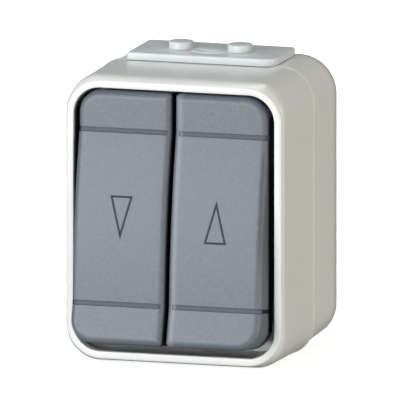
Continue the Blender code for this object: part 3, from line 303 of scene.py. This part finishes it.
class Wire:
    """A socket of a material's tree. Arithmetic on it adds Math nodes."""

    def __init__(self, tree, socket):
        self.tree = tree
        self.socket = socket

    def node(self, kind, settings=None, out=0, **values):
        """Any other node: its settings first, then the values or wires of its sockets.

        A socket is named by its label with spaces as underscores, or as i0, i1 by its place.
        """
        made = self.tree.nodes.new(kind)
        for name, value in (settings or {}).items():
            setattr(made, name, value)
        for name, value in values.items():
            numbered = name[0] == "i" and name[1:].isdigit()
            key = int(name[1:]) if numbered else name.replace("_", " ")
            if isinstance(value, Wire):
                self.tree.links.new(value.socket, made.inputs[key])
            else:
                made.inputs[key].default_value = value
        return Wire(self.tree, made.outputs[out])

    def math(self, operation, *values):
        """A Math node of an operation on wires or numbers."""
        places = {f"i{n}": value for n, value in enumerate(values)}
        return self.node("ShaderNodeMath", {"operation": operation}, **places)

    def __add__(self, other):
        return self.math("ADD", self, other)

    __radd__ = __add__

    def __sub__(self, other):
        return self.math("SUBTRACT", self, other)

    def __rsub__(self, other):
        return self.math("SUBTRACT", other, self)

    def __mul__(self, other):
        return self.math("MULTIPLY", self, other)

    __rmul__ = __mul__

    def __abs__(self):
        return self.math("ABSOLUTE", self)

    def larger(self, other):
        """The larger of this wire and another."""
        return self.math("MAXIMUM", self, other)

    def between(self, low, high):
        """0 below low, 1 above high, a smooth step from one to the other."""
        return self.node("ShaderNodeMapRange", {"interpolation_type": "SMOOTHSTEP"}, i0=self,
                         i1=low, i2=high, i3=0.0, i4=1.0)

    def axis(self, name):
        """One coordinate of a vector wire."""
        return self.node("ShaderNodeSeparateXYZ", None, "XYZ".index(name), i0=self)

    def noise(self, size, detail=2.0):
        """Noise of a given grain size in millimetres on a vector wire."""
        return self.node("ShaderNodeTexNoise", None, Vector=self, Scale=1.0 / (size * mm),
                         Detail=detail)

    def bump(self, strength, distance):
        """A normal that takes this wire as the surface's height; the distance in millimetres."""
        return self.node("ShaderNodeBump", None, Height=self, Strength=strength,
                         Distance=distance * mm)

    def mix(self, first, second):
        """The first colour where this wire is 0, the second where it is 1."""
        made = self.tree.nodes.new("ShaderNodeMix")
        made.data_type = "RGBA"
        self.tree.links.new(self.socket, made.inputs[0])
        for value, place in ((first, 6), (second, 7)):
            if isinstance(value, Wire):
                self.tree.links.new(value.socket, made.inputs[place])
            else:
                made.inputs[place].default_value = value
        return Wire(self.tree, made.outputs[2])


def new_material(name, **constants):
    """A Principled material with its constant values; returns it, its shader and the wire of
    the object coordinates."""
    made = bpy.data.materials.new(name)
    made.use_nodes = True
    tree = made.node_tree
    shader = tree.nodes["Principled BSDF"]
    for key, value in constants.items():
        shader.inputs[key.replace("_", " ")].default_value = value
    place = tree.nodes.new("ShaderNodeTexCoord")
    return made, shader, Wire(tree, place.outputs["Object"])


def feed(shader, **wires):
    """Link wires to a shader's sockets."""
    for key, wire in wires.items():
        wire.tree.links.new(wire.socket, shader.inputs[key.replace("_", " ")])


def grey(red, green, blue):
    """A linear colour from the eye's 0 to 255 scale."""
    share = np.array([red, green, blue]) / 255.0
    linear = np.where(share <= 0.04045, share / 12.92, ((share + 0.055) / 1.055) ** 2.4)
    return (*linear.tolist(), 1.0)


housing_plastic, shader, place = new_material("housing_plastic", Coat_Weight=0.1,
                                              Coat_Roughness=0.12, Specular_IOR_Level=0.35)
cloud = place.noise(14.0, 2.0)
grain = place.noise(0.22, 3.0)
rub = place.noise(2.6, 5.0).between(0.62, 0.8)
painted_rear_shade = (place.axis("Y") * 1000.0).between(-4.5, -0.2)      # painted shade along the rear edge, beside the wall
tone = painted_rear_shade.mix(cloud.mix(grey(224, 226, 224), grey(229, 231, 229)), grey(192, 189, 182))
feed(shader, Base_Color=tone, Roughness=0.27 + 0.05 * cloud + 0.08 * rub,
     Normal=grain.bump(0.05, 0.02))
base.data.materials.clear()
base.data.materials.append(housing_plastic)


# ---------------------------------------------------------------- switch insert
# The insulating block with the contacts, screwed to two posts of the base. Moulded in off-white
# thermoset with a dry, faintly flecked surface, like the plungers that tip the levers. These
# keep their CAD shapes, as does all that lies inside.

def dress(material, *names):
    """Give CAD nodes a material."""
    for name in names:
        mesh = nodes[name].data
        mesh.materials.clear()
        mesh.materials.append(material)


insert_plastic, shader, place = new_material("insert_plastic")
fleck = place.noise(0.5, 4.0).between(0.35, 0.7)
feed(shader, Base_Color=fleck.mix(grey(206, 201, 188), grey(221, 217, 205)),
     Roughness=0.5 + 0.12 * fleck,
     Normal=fleck.bump(0.1, 0.03))
dress(insert_plastic, "insert_body", "plunger_left", "plunger_right")


# ---------------------------------------------------------------- contacts and terminals
# Stamped brass: a feed bar with two knife edges, two see-saw levers, two fixed strips and three
# wire cages. The sheet keeps faint rolling lines and a little tarnish.

brass, shader, place = new_material("brass", Metallic=1.0)
lines = place.node("ShaderNodeVectorMath", {"operation": "MULTIPLY"}, i0=place,
                   i1=(1.0, 1.0, 0.08)).noise(0.12, 2.0)
tarnish = place.noise(1.8, 4.0).between(0.45, 0.75)
feed(shader, Base_Color=tarnish.mix(grey(214, 186, 122), grey(176, 142, 84)),
     Roughness=0.24 + 0.1 * lines + 0.2 * tarnish,
     Normal=lines.bump(0.12, 0.01))
dress(brass, "feed_bar", "fixed_contact_left", "fixed_contact_right", "contact_lever_left",
      "contact_lever_right", "terminal_left", "terminal_common", "terminal_right")


# ---------------------------------------------------------------- screws, pin and springs
# Zinc plated steel: cheese head screws, the drawn pivot pin and the coiled plunger springs.
# The plating is a touch cloudy with fine scratches.

steel, shader, place = new_material("zinc_plated_steel", Metallic=1.0)
scratch = place.noise(0.15, 3.0)
haze = place.noise(1.2, 3.0)
feed(shader, Base_Color=haze.mix(grey(190, 192, 194), grey(172, 174, 172)),
     Roughness=0.22 + 0.22 * haze,
     Normal=scratch.bump(0.08, 0.01))
dress(steel, "pivot_pin", "spring_left", "spring_right", "terminal_screw_left",
      "terminal_screw_common", "terminal_screw_right", "insert_screw_upper",
      "insert_screw_lower", "frame_screw_upper", "frame_screw_lower")


# ---------------------------------------------------------------- seals
# Soft black rubber with a dull bloom: a band in the groove of the base's spigot, which the
# cover presses on, and a ring under the entry plate.

rubber, shader, place = new_material("seal_rubber")
bloom = place.noise(0.8, 4.0)
feed(shader, Base_Color=bloom.mix(grey(34, 34, 35), grey(52, 52, 52)),
     Roughness=0.62 + 0.2 * bloom,
     Normal=place.noise(0.25, 3.0).bump(0.2, 0.03))
dress(rubber, "cover_seal", "entry_seal")


# ---------------------------------------------------------------- rocker frame
# The frame behind the lip: a lining round the keys and a web with three lugs for their pin,
# screwed to the insert. Moulded in light plastic, like the two cradles that carry the keys; the
# material paints shade onto it near the window.

frame_plastic, shader, place = new_material("frame_plastic")
grain = place.noise(0.3, 3.0)
cloud = place.noise(7.0, 2.0)
far = (place.axis("Y") * 1000.0).between(-49.5, -40.5)      # behind the window
light = cloud.mix(grey(236, 237, 240), grey(241, 242, 245))
# Painted shade: the light plastic turns dark grey near the window, behind the lip.
feed(shader, Base_Color=far.mix(grey(110, 111, 115), light),
     Roughness=0.36 + 0.12 * grain,
     Normal=grain.bump(0.08, 0.02))
dress(frame_plastic, "rocker_frame", "cradle_left", "cradle_right")


# ---------------------------------------------------------------- front cover
# The deep front half of the housing. Moulded in the same light grey plastic with a bright
# rounded lip round the window and a flare behind it; it snaps over the base's spigot.

# Sections again: the window, the lip's and the flare's outlines and the one at the joint.
WINDOW = (30.25, 38.6, 7.9)
LIP = (32.45, 40.92, 10.4)
FLARE = (33.0, 41.8, 9.5)
COVER_END = (33.3, 42.1, 9.8)
FLARE_REACHES = (2.2, 5.0, 5.0)           # depths where its width, height and corners are full
LIP_ROUND, LIP_INSET = 0.6, 0.8           # depth and width of the lip's outer rounding
WINDOW_ROUND, WINDOW_INSET = 0.3, 0.35    # and of its inner one
LIP_THICKNESS = 1.6
COVER_WALL = 1.5
SKIRT_FRONT, SKIRT_WALL = 22.5, 1.1       # the thinner skirt that goes over the spigot
SKIRT_SHARE = 0.716        # how far its front lies on the way from FLARE to COVER_END
SWELL = 0.2                # how far the cover swells just before the joint
END_ROUND = 0.1


def blend_of(first, second, share):
    """A section between two sections."""
    return tuple(a + (b - a) * share for a, b in zip(first, second))


def flare_section(depth):
    """The cover's outline behind the lip: it swells quickly in width and more slowly in height,
    then widens a little all the way to the joint."""
    parts = []
    behind_lip = depth - LIP_ROUND
    for lip, full, end, reach in zip(LIP, FLARE, COVER_END, FLARE_REACHES):
        share = min(behind_lip / (reach - LIP_ROUND), 1.0)
        swollen = lip + (full - lip) * (1 - (1 - share) ** 1.5)
        parts.append(swollen + (end - full) * behind_lip / (JOINT_DEPTH - LIP_ROUND))
    return tuple(parts)


sections = [(JOINT_DEPTH - END_ROUND + d, *inset_of(COVER_END, i - SWELL))
            for d, i in reversed(quarter(END_ROUND, END_ROUND))]
sections += [(depth, *inset_of(flare_section(depth), -SWELL * share)) for depth, share in
             ((29.6, 0.9), (29.3, 0.65), (29.0, 0.35), (28.7, 0.1), (28.4, 0.0))]
sections += [(depth, *flare_section(depth)) for depth in
             (27.5, 24.0, 18.0, 12.0, 8.0, 6.5, 5.0, 4.2, 3.5, 2.9, 2.4, 2.2, 2.0, 1.7, 1.4,
              1.1, 0.8)]
sections += [(LIP_ROUND - d, *inset_of(LIP, i)) for d, i in quarter(LIP_ROUND, LIP_INSET, 8)]
sections += [(WINDOW_ROUND - d, *inset_of(WINDOW, -i))
             for d, i in reversed(quarter(WINDOW_ROUND, WINDOW_INSET))]
sections += [(LIP_THICKNESS, *WINDOW), (LIP_THICKNESS, *inset_of(FLARE, COVER_WALL)),
             (SKIRT_FRONT, *inset_of(blend_of(FLARE, COVER_END, SKIRT_SHARE), COVER_WALL)),
             (SKIRT_FRONT, *inset_of(COVER_END, SKIRT_WALL)),
             (JOINT_DEPTH, *inset_of(COVER_END, SKIRT_WALL))]
cover = shell("housing_cover", sections, closed=True, sharp=40)
POCKET_TIP = 32.8          # distance from the middle plane
PLAY = 0.3                 # between a catch and its pocket
pockets = []
for side in (-1, 1):
    for middle in (-CATCH_AT, CATCH_AT):
        near, far = sorted((side * CATCH_ROOT, side * POCKET_TIP))
        pockets.append(block((near, CATCH_FRONT - PLAY, middle - CATCH_HALF - PLAY),
                             (far, CATCH_REAR + PLAY, middle + CATCH_HALF + PLAY)))
carve(cover, (), pockets, sharp=40)
cover.data.materials.clear()
cover.data.materials.append(housing_plastic)
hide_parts("front_cover")
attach(cover, "housing")


# ---------------------------------------------------------------- entry plate
# The cable entry plate on top: housing plastic, one keyed corner, two blind studs and a thin
# domed disc that is pierced for the cable. Its neck goes down through the base's wall.

PLATE_LOW, PLATE_HIGH = 42.2, 44.4        # heights above the housing's middle
PLATE_FRONT, PLATE_REAR = 27.2, 49.6      # depths
LOWER_ROUND, UPPER_ROUND, UPPER_INSET = 0.15, 0.4, 0.45
lower = [(PLATE_LOW + LOWER_ROUND - d, i)
         for d, i in reversed(quarter(LOWER_ROUND, LOWER_ROUND, 4))]
upper = [(PLATE_HIGH - UPPER_ROUND + d, i) for d, i in quarter(UPPER_ROUND, UPPER_INSET, 6)]
levels = lower + upper
points, faces = prism([plate_path(inset, PLATE_FRONT, PLATE_REAR, steps=14)
                       for _, inset in levels], [height for height, _ in levels])
plate = finished("entry_plate_shape", points, faces)
STUD_RADIUS, STUD_HEIGHT, STUD_ROUND = 3.625, 2.25, 0.4
STUD_PLACES = (-9.2, 8.5)
DOME_RADIUS, DOME_HEIGHT = 3.9, 0.45
DISC_RADIUS, DISC_HEIGHT = 6.0, 0.3
MIDDLE = 37.75             # depth of the studs and the disc
NECK_OUTSIDE = ((-15.0, 33.2, 37.8), (15.0, 43.9, 43.4))
NECK_INSIDE = ((-13.5, 34.7, 36.0), (13.5, 42.4, 42.4))
studs = [(0.0, STUD_HEIGHT)]
studs += [(STUD_RADIUS - STUD_ROUND + STUD_ROUND * math.sin(a),
           STUD_HEIGHT - STUD_ROUND + STUD_ROUND * math.cos(a))
          for a in np.linspace(0, math.pi / 2, 6)]
studs += [(STUD_RADIUS, 0.25), (3.75, 0.08), (3.95, 0.0), (3.95, -1.0), (0.0, -1.0)]
disc = [(0.0, DISC_HEIGHT + DOME_HEIGHT)]
disc += [(DOME_RADIUS * math.sin(a), DISC_HEIGHT + DOME_HEIGHT * math.cos(a))
         for a in np.linspace(0.1, math.pi / 2, 9)]
disc += [(5.6, DISC_HEIGHT), (5.85, 0.22), (DISC_RADIUS, 0.08), (DISC_RADIUS, -1.0),
         (0.0, -1.0)]
joins = [turned(studs, (x, MIDDLE, PLATE_HIGH), "z", 72) for x in STUD_PLACES]
joins.append(turned(disc, (0.0, MIDDLE, PLATE_HIGH), "z", 96))
joins.append(block(*NECK_OUTSIDE))
carve(plate, joins, [block(*NECK_INSIDE)])
plate.name = "cable_entry_plate"
plate_plastic, shader, place = new_material("plate_plastic", Coat_Weight=0.1,
                                            Coat_Roughness=0.12, Specular_IOR_Level=0.35)
cloud = place.noise(9.0, 2.0)
feed(shader, Base_Color=cloud.mix(grey(211, 216, 218), grey(216, 221, 223)),
     Roughness=0.3 + 0.08 * cloud,
     Normal=place.noise(0.22, 3.0).bump(0.05, 0.02))
plate.data.materials.clear()
plate.data.materials.append(plate_plastic)
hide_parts("entry_plate")
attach(plate, "housing")


# ---------------------------------------------------------------- keys
# Two tall key caps of blue grey satin plastic, hollow behind, clipped to their cradles. The
# front is crowned, with a groove near each end; an arrowhead outline marks down and up.

PIVOT = 7.5                # depth of the axis behind the lip
TILT = math.radians(-8.0)  # pressed in at the top
END = 36.75                # half a key's height
CORNER = 7.0               # corner radius beside the housing
GAP_CORNER = 1.2           # and beside the other key
GROOVE_AT = 25.1           # the grooves' height above and below the axis
GROOVE_HALF, GROOVE_WALL, GROOVE_DEPTH = 0.75, 0.12, 0.4
CROWN = 12.3               # how far the front stands before the axis in the middle
CROWN_DROP = 1.3           # how much less it does at the grooves
END_RISE = 1.5             # how much more again at the ends
KEY_BOUNDS = {-1: (-28.85, -0.6), 1: (0.25, 28.45)}     # where each key begins and ends
KEY_EDGES = {-1: (1.8, 2.1), 1: (1.7, 2.1)}             # radii of their left and right edges
END_EDGE = 2.4             # radius of the edges at their ends
KEY_WALL = 1.5
KEY_FRONT_WALL = 1.8
HOLLOW_ROUND = 0.6
INNER_BEVEL, OUTER_BEVEL = 0.15, 0.2      # of the rear rim
REAR_RIM, NOTCH_RIM = 1.0, -3.6           # behind the axis


def front_height(z, grooved):
    """Front's distance from the axis: a parabola crowns the middle, the ends flare out past the
    groove, and the groove is a flat-floored channel with steep sides."""
    reach = np.abs(z)
    crown = CROWN - CROWN_DROP * (reach / GROOVE_AT) ** 2
    flared = CROWN - CROWN_DROP + END_RISE * (reach - GROOVE_AT) / (END - GROOVE_AT)
    height = np.where(reach <= GROOVE_AT, crown, flared)
    if grooved:
        channel = np.clip((GROOVE_HALF - np.abs(reach - GROOVE_AT)) / GROOVE_WALL, 0.0, 1.0)
        height = height - GROOVE_DEPTH * channel
    return height


# Heights of a key's rows: close together at the grooves' walls and at the notch in its gap side.
NOTCH = 6.5
LEVELS = np.concatenate([[NOTCH - 0.01, NOTCH + 0.01], np.linspace(0.0, 22.0, 16)[1:],
                         [24.2, 24.34, 24.36, 24.48, 24.9, 25.3, 25.72, 25.84, 25.86, 26.0,
                          27.8]])
LEVELS = np.concatenate([-np.sort(LEVELS)[::-1], [0.0], np.sort(LEVELS)])


def key_side(edge, sign, end, corner, inset, inset_end, steps=14):
    """One side of a key's outline, from its lower to its upper end, as (x, z).

    Straight between two elliptic corners; a corner that the inset uses up shrinks to a point.
    """
    angle = np.linspace(0, math.pi / 2, steps + 1)
    radius_x = max(corner - inset, 0.02)
    radius_z = max(corner - inset_end, 0.02)
    x = edge - sign * (inset + radius_x) + sign * radius_x * np.cos(angle)
    z = end - inset_end - radius_z + radius_z * np.sin(angle)
    straight = np.full(len(LEVELS), edge - sign * inset)
    return np.column_stack([np.concatenate([x[::-1], straight, x]),
                            np.concatenate([-z[::-1], LEVELS, z])])


COLUMNS = 12               # across a key's front


def key_loop(left, right, flat_left, flat_right):
    """Closed loop of (x, z, uninset z, side) round a key: along the lower end, up the right
    side, back along the upper end and down the left side."""
    share = np.linspace(0, 1, COLUMNS + 1)[:, None]

    def end_row(n):
        row = left[n] + (right[n] - left[n]) * share
        return np.column_stack([row, np.full(COLUMNS + 1, flat_left[n, 1]), share * 2 - 1])

    one = np.ones(len(left) - 2)
    up = np.column_stack([right[1:-1], flat_right[1:-1, 1], one])
    down = np.column_stack([left[1:-1], flat_left[1:-1, 1], -one])[::-1]
    return np.vstack([end_row(0), up, end_row(-1)[::-1], down])


def key_cap(name, side):
    """A key cap as rings round its outline: up the side, over the rounded edge to the front,
    which a grid of rows and columns closes, and likewise inside for the hollow."""
    left, right = KEY_BOUNDS[side]
    edge_left, edge_right = KEY_EDGES[side]
    corners = (GAP_CORNER, CORNER) if side > 0 else (CORNER, GAP_CORNER)
    inner_corners = tuple(max(corner - KEY_WALL, 0.3) for corner in corners)
    rings = []

    def ring(insets, bounds, corners, depth_of):
        """Add one ring; it returns its two sides."""
        low, high, end = bounds
        inset_left, inset_right, inset_end = insets
        rows = (key_side(low, -1, end, corners[0], inset_left, inset_end),
                key_side(high, 1, end, corners[1], inset_right, inset_end))
        flat = (key_side(low, -1, end, corners[0], 0, 0),
                key_side(high, 1, end, corners[1], 0, 0))
        loop = key_loop(*rows, *flat)
        rings.append(np.column_stack([loop[:, 0], depth_of(loop), loop[:, 1]]))
        return rows

    hollow = (left + KEY_WALL, right - KEY_WALL, END - KEY_WALL)

    def ceiling(loop):
        """The hollow's inner face, which follows the front at the wall's thickness."""
        return -(front_height(loop[:, 1], False) - KEY_FRONT_WALL)

    def rear(loop):
        """The rear rim, notched beside the gap for the middle lug."""
        on_gap = (loop[:, 3] * side < -0.99) & (np.abs(loop[:, 1]) < NOTCH)
        return np.where(on_gap, NOTCH_RIM, REAR_RIM)

    half_round = 0.3 * HOLLOW_ROUND
    inner_rows = ring([HOLLOW_ROUND] * 3, hollow, inner_corners, ceiling)
    ring([half_round] * 3, hollow, inner_corners, lambda loop: ceiling(loop) + half_round)
    ring([0.0] * 3, hollow, inner_corners, lambda loop: ceiling(loop) + HOLLOW_ROUND)
    ring([0.0] * 3, hollow, inner_corners, lambda loop: rear(loop) - INNER_BEVEL)
    ring([-INNER_BEVEL] * 3, hollow, inner_corners, rear)
    ring([OUTER_BEVEL] * 3, (left, right, END), corners, rear)
    ring([0.0] * 3, (left, right, END), corners, lambda loop: rear(loop) - OUTER_BEVEL)

    def edge(angle):
        """Depth of a ring on the rounded edge: a quarter ellipse between side and front."""
        def depth_of(loop):
            corner = np.where(loop[:, 3] > 0, corners[1], corners[0])
            on_end = np.maximum(np.abs(loop[:, 2]) - (END - corner), 0.0) / corner
            across = np.where(loop[:, 3] > 0, edge_right, edge_left)
            radius = across + (END_EDGE - across) * on_end ** 2
            flat = np.abs(loop[:, 2]) < END - corner
            at = np.where(flat, loop[:, 2], loop[:, 1])
            on_gap = loop[:, 3] * side < 0
            height = np.where(on_gap, front_height(at, angle > 1.5),
                              front_height(at, angle > 0.25))
            return -height + radius * (1 - math.sin(angle))
        return depth_of

    for angle in np.linspace(0, math.pi / 2, 10):
        pull = 1 - math.cos(angle)
        rows = ring((edge_left * pull, edge_right * pull, END_EDGE * pull),
                    (left, right, END), corners, edge(angle))
    count = len(rings[0])
    faces = grid_faces(len(rings), count, False, True).tolist()
    points = [np.vstack(rings)]
    total = len(rings) * count

    def close(rows_now, ring_number, height_of):
        """Rows and columns that fill a ring; their rim is the ring itself."""
        nonlocal total
        row_left, row_right = rows_now
        number = len(row_left)
        share = np.linspace(0, 1, COLUMNS + 1)[1:-1, None]
        field = row_left[1:-1, None] + (row_right - row_left)[1:-1, None] * share
        x, z = field.reshape(-1, 2).T
        points.append(np.column_stack([x, height_of(z), z]))
        index = np.zeros((number, COLUMNS + 1), int)
        start = ring_number * count
        index[0] = start + np.arange(COLUMNS + 1)
        index[1:-1, -1] = start + COLUMNS + 1 + np.arange(number - 2)
        index[-1] = start + COLUMNS + 1 + number - 2 + np.arange(COLUMNS + 1)[::-1]
        index[1:-1, 0] = start + 2 * (COLUMNS + 1) + number - 2 + np.arange(number - 2)[::-1]
        index[1:-1, 1:-1] = total + np.arange((number - 2) * (COLUMNS - 1)).reshape(
            number - 2, COLUMNS - 1)
        total += (number - 2) * (COLUMNS - 1)
        faces.extend(np.stack([index[:-1, :-1], index[:-1, 1:], index[1:, 1:], index[1:, :-1]],
                              axis=-1).reshape(-1, 4).tolist())

    close(rows, len(rings) - 1, lambda z: -front_height(z, True))
    close(inner_rows, 0, lambda z: -(front_height(z, False) - KEY_FRONT_WALL))
    x, y, z = np.vstack(points).T
    tilted = np.column_stack([x, y * math.cos(TILT) - z * math.sin(TILT) + PIVOT - WALL_DEPTH,
                              y * math.sin(TILT) + z * math.cos(TILT)])
    return finished(name, tilted * mm, faces, sharp=32)


def key_place(place, middle):
    """Object coordinates in a key's own plane, in millimetres: distance from its middle line,
    height along it and distance in front of its axis."""
    x = abs((place.axis("X") - middle * mm) * 1000.0)
    y = (place.axis("Y") - (PIVOT - WALL_DEPTH) * mm) * 1000.0
    z = place.axis("Z") * 1000.0
    up = z * math.cos(TILT) - y * math.sin(TILT)
    forward = -1.0 * (y * math.cos(TILT) + z * math.sin(TILT))
    return x, up, forward


def arrow_mask(x, up, forward, centre, points_up):
    """1 on the stroke of an arrowhead outline, 0 elsewhere.

    The triangle's inside distance is the largest of its distances to the three sides, and the
    stroke is where that is near zero.
    """
    up = (up - centre) * (1.0 if points_up else -1.0)
    length, half = 11.2, 3.0
    slope = math.hypot(length, half)
    slanted = x * (length / slope) + (up - length / 2) * (half / slope)
    outside = slanted.larger(-1.0 * up - length / 2)
    stroke = 1.0 - abs(outside).between(0.2, 0.4)
    return stroke * forward.between(10.0, 10.4)


for side, word, arrow_middle in ((-1, "left", 14.55), (1, "right", 14.1)):
    key = key_cap("key_cap_" + word, side)
    key_plastic, shader, place = new_material("key_plastic_" + word)
    x, up, forward = key_place(place, side * arrow_middle)
    right_only = 1.0 if side > 0 else 0.0
    grain = place.noise(0.35, 4.0)
    mottle = place.noise(1.1, 3.0)
    speck = place.noise(0.6, 1.0).between(0.66, 0.78)
    arrow = arrow_mask(x, up, forward, -0.43 * side, side > 0)

    # Where a point lies: its height from the middle, its distance behind the front and its
    # distance from the housing's middle plane.
    reach = abs(up)
    crown = CROWN - reach * reach * (CROWN_DROP / GROOVE_AT ** 2)
    flared = CROWN - CROWN_DROP + (reach - GROOVE_AT) * (END_RISE / (END - GROOVE_AT))
    sunk = crown.larger(flared) - forward
    off_middle = abs(reach - GROOVE_AT)
    across = abs(place.axis("X") * 1000.0)
    behind_lip = (place.axis("Y") * 1000.0).between(-51.8, -50.6)

    # Grooves, and painted shadow: black at their outer ends and in the gap, dark beside the lip.
    channel = 1.0 - off_middle.between(0.5, 0.73)
    groove = channel * (1.0 - sunk.between(1.8, 2.6)) * across.between(1.5, 2.0)
    notch = channel * across.between(28.2, 28.42)
    on_gap = 1.0 - across.between(0.6, 2.3 if side < 0 else 1.1)
    in_gap = (on_gap * sunk.between(0.4, 1.5)).larger(notch)
    beside_lip = across.between(28.15, 28.4) * behind_lip

    # Right key only: a painted highlight on its gap edge, painted shade on its outer rounding.
    painted_edge_highlight = across.between(0.8, 1.3) * (1.0 - across.between(2.0, 3.2)) * right_only
    waist = up.between(-22.0, -2.0) * (1.0 - up.between(16.0, 24.0))
    shaded = across.between(26.8, 27.5) * waist * right_only

    plain = mottle.between(0.25, 0.75).mix(grey(97, 104, 114), grey(106, 113, 124))
    flecked = (0.35 * speck).mix(plain, grey(140, 148, 155))
    walls = off_middle.between(0.25, 0.55)
    # Painted shade in the grooves, darkest on their walls.
    grooved = groove.mix(flecked, walls.mix(grey(80, 87, 97), grey(67, 74, 84)))
    edged = shaded.mix(painted_edge_highlight.mix(grooved, grey(122, 129, 138)), grey(84, 90, 99))
    marked = arrow.mix(edged, grey(50, 52, 66))
    # Painted shadow: near black in the gap and at the grooves' outer ends, dark on the side
    # behind the lip.
    feed(shader, Base_Color=in_gap.mix(beside_lip.mix(marked, grey(19, 20, 24)), grey(8, 9, 11)),
         Roughness=0.42 + 0.1 * mottle + 0.35 * arrow.larger(0.5 * groove).larger(
             1.3 * in_gap.larger(beside_lip)),
         Normal=(grain + 0.6 * mottle - 1.2 * arrow).bump(0.16, 0.05))
    key.data.materials.append(key_plastic)
    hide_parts("rocker_" + word)
    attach(key, "key_" + word)


# ---------------------------------------------------------------- floor, light and camera
# A plain pale floor that curves up into a round wall, one large soft light in front on the left,
# others on the right, beside, above, below and behind, and the camera at the photograph's angle.

scene = bpy.context.scene
scene.view_settings.view_transform = "Standard"
world = bpy.data.worlds.new("studio")
scene.world = world
world.use_nodes = True
world.node_tree.nodes["Background"].inputs["Color"].default_value = (0.93, 0.95, 1.0, 1.0)
world.node_tree.nodes["Background"].inputs["Strength"].default_value = 0.05


def backdrop_rings(ground, flat, cove, height, steps=96):
    """Surface of revolution: a flat disc, a quarter circle of radius cove that turns it upwards,
    and a wall of the given height; rows of points round the vertical axis."""
    turn = np.linspace(0, math.pi / 2, 13)
    middle = 0.3           # radius of the disc's one flat face in the middle
    radius = np.concatenate([[middle, flat], flat + cove * np.sin(turn), [flat + cove]])
    level = np.concatenate([[0, 0], cove * (1 - np.cos(turn)), [height]]) + ground
    angle = np.linspace(0, 2 * math.pi, steps, endpoint=False)
    return np.stack([radius[:, None] * np.cos(angle), radius[:, None] * np.sin(angle),
                     np.repeat(level[:, None], steps, axis=1)], axis=-1)


GROUND_GAP = 0.0002        # metres between the switch and the floor
rings = backdrop_rings(cad_bounds[0].z - GROUND_GAP, 5.0, 1.5, 5.0)
rows, columns = rings.shape[:2]
floor_faces = grid_faces(rows, columns, False, True).tolist() + [list(range(columns))]
floor = finished("floor", rings.reshape(-1, 3), floor_faces)
if floor.data.polygons[-1].normal.z < 0:
    floor.data.flip_normals()
floor_paint, shader, place = new_material("floor_paint", Roughness=0.9,
                                          Emission_Strength=0.7)
shader.inputs["Emission Color"].default_value = (1, 1, 1, 1)
patch = place.noise(400.0, 2.0)
feed(shader, Base_Color=patch.mix(grey(244, 244, 244), grey(247, 247, 247)))
floor.data.materials.append(floor_paint)
floor.visible_diffuse = floor.visible_glossy = False      # it throws no light on the switch
floor.visible_shadow = False                              # the low lights shine through it


def soft_light(name, azimuth, elevation, distance, width, height, power, colour):
    """An area light that faces the switch from an azimuth and elevation like the camera's."""
    lamp = bpy.data.lights.new(name, "AREA")
    lamp.shape = "RECTANGLE"
    lamp.size, lamp.size_y = width, height
    lamp.energy = power
    lamp.color = colour
    item = bpy.data.objects.new(name, lamp)
    a, e = math.radians(azimuth), math.radians(elevation)
    away = Vector((math.sin(a) * math.cos(e), -math.cos(a) * math.cos(e), math.sin(e)))
    item.location = away * distance + Vector((0, -0.03, 0))
    item.rotation_euler = away.to_track_quat("Z", "Y").to_euler()
    scene.collection.objects.link(item)


soft_light("front_softbox", -24, 9, 0.9, 0.56, 0.56, 9.3, (1.0, 1.0, 1.0))
soft_light("right_softbox", 42, -10, 1.2, 0.4, 0.35, 2.0, (1.0, 1.0, 0.98))
soft_light("side_softbox", 84, 5, 1.2, 0.7, 0.9, 8.4, (1.0, 0.93, 0.83))
soft_light("top_softbox", 205, 58, 1.2, 0.9, 0.6, 7.8, (0.98, 1.0, 0.99))
soft_light("low_softbox", 80, -48, 1.2, 0.8, 0.8, 1.3, (0.97, 1.0, 0.9))
soft_light("rear_softbox", 200, -9, 1.2, 0.3, 0.25, 2.6, (1.0, 1.0, 1.0))

CAMERA_AZIMUTH, CAMERA_ELEVATION = math.radians(17.0), math.radians(10.1)
DISTANCE = 2.5
FIELD = 0.1154             # metres across the picture, a parallel view
SHIFT_RIGHT, SHIFT_UP = 0.0076, 0.00675   # from the middle of the lip's plane to the picture's
sa, ca = math.sin(CAMERA_AZIMUTH), math.cos(CAMERA_AZIMUTH)
se, ce = math.sin(CAMERA_ELEVATION), math.cos(CAMERA_ELEVATION)
towards = Vector((sa * ce, -ca * ce, se))
right = Vector((ca, sa, 0))
above = Vector((-sa * se, ca * se, ce))
target = Vector((0, -WALL_DEPTH * mm, 0)) + right * SHIFT_RIGHT + above * SHIFT_UP
lens = bpy.data.cameras.new("camera")
lens.type = "ORTHO"
lens.ortho_scale = FIELD
lens.clip_start, lens.clip_end = 0.1, 60.0
camera = bpy.data.objects.new("camera", lens)
camera.location = target + towards * DISTANCE
camera.rotation_euler = towards.to_track_quat("Z", "Y").to_euler()
scene.collection.objects.link(camera)
scene.camera = camera
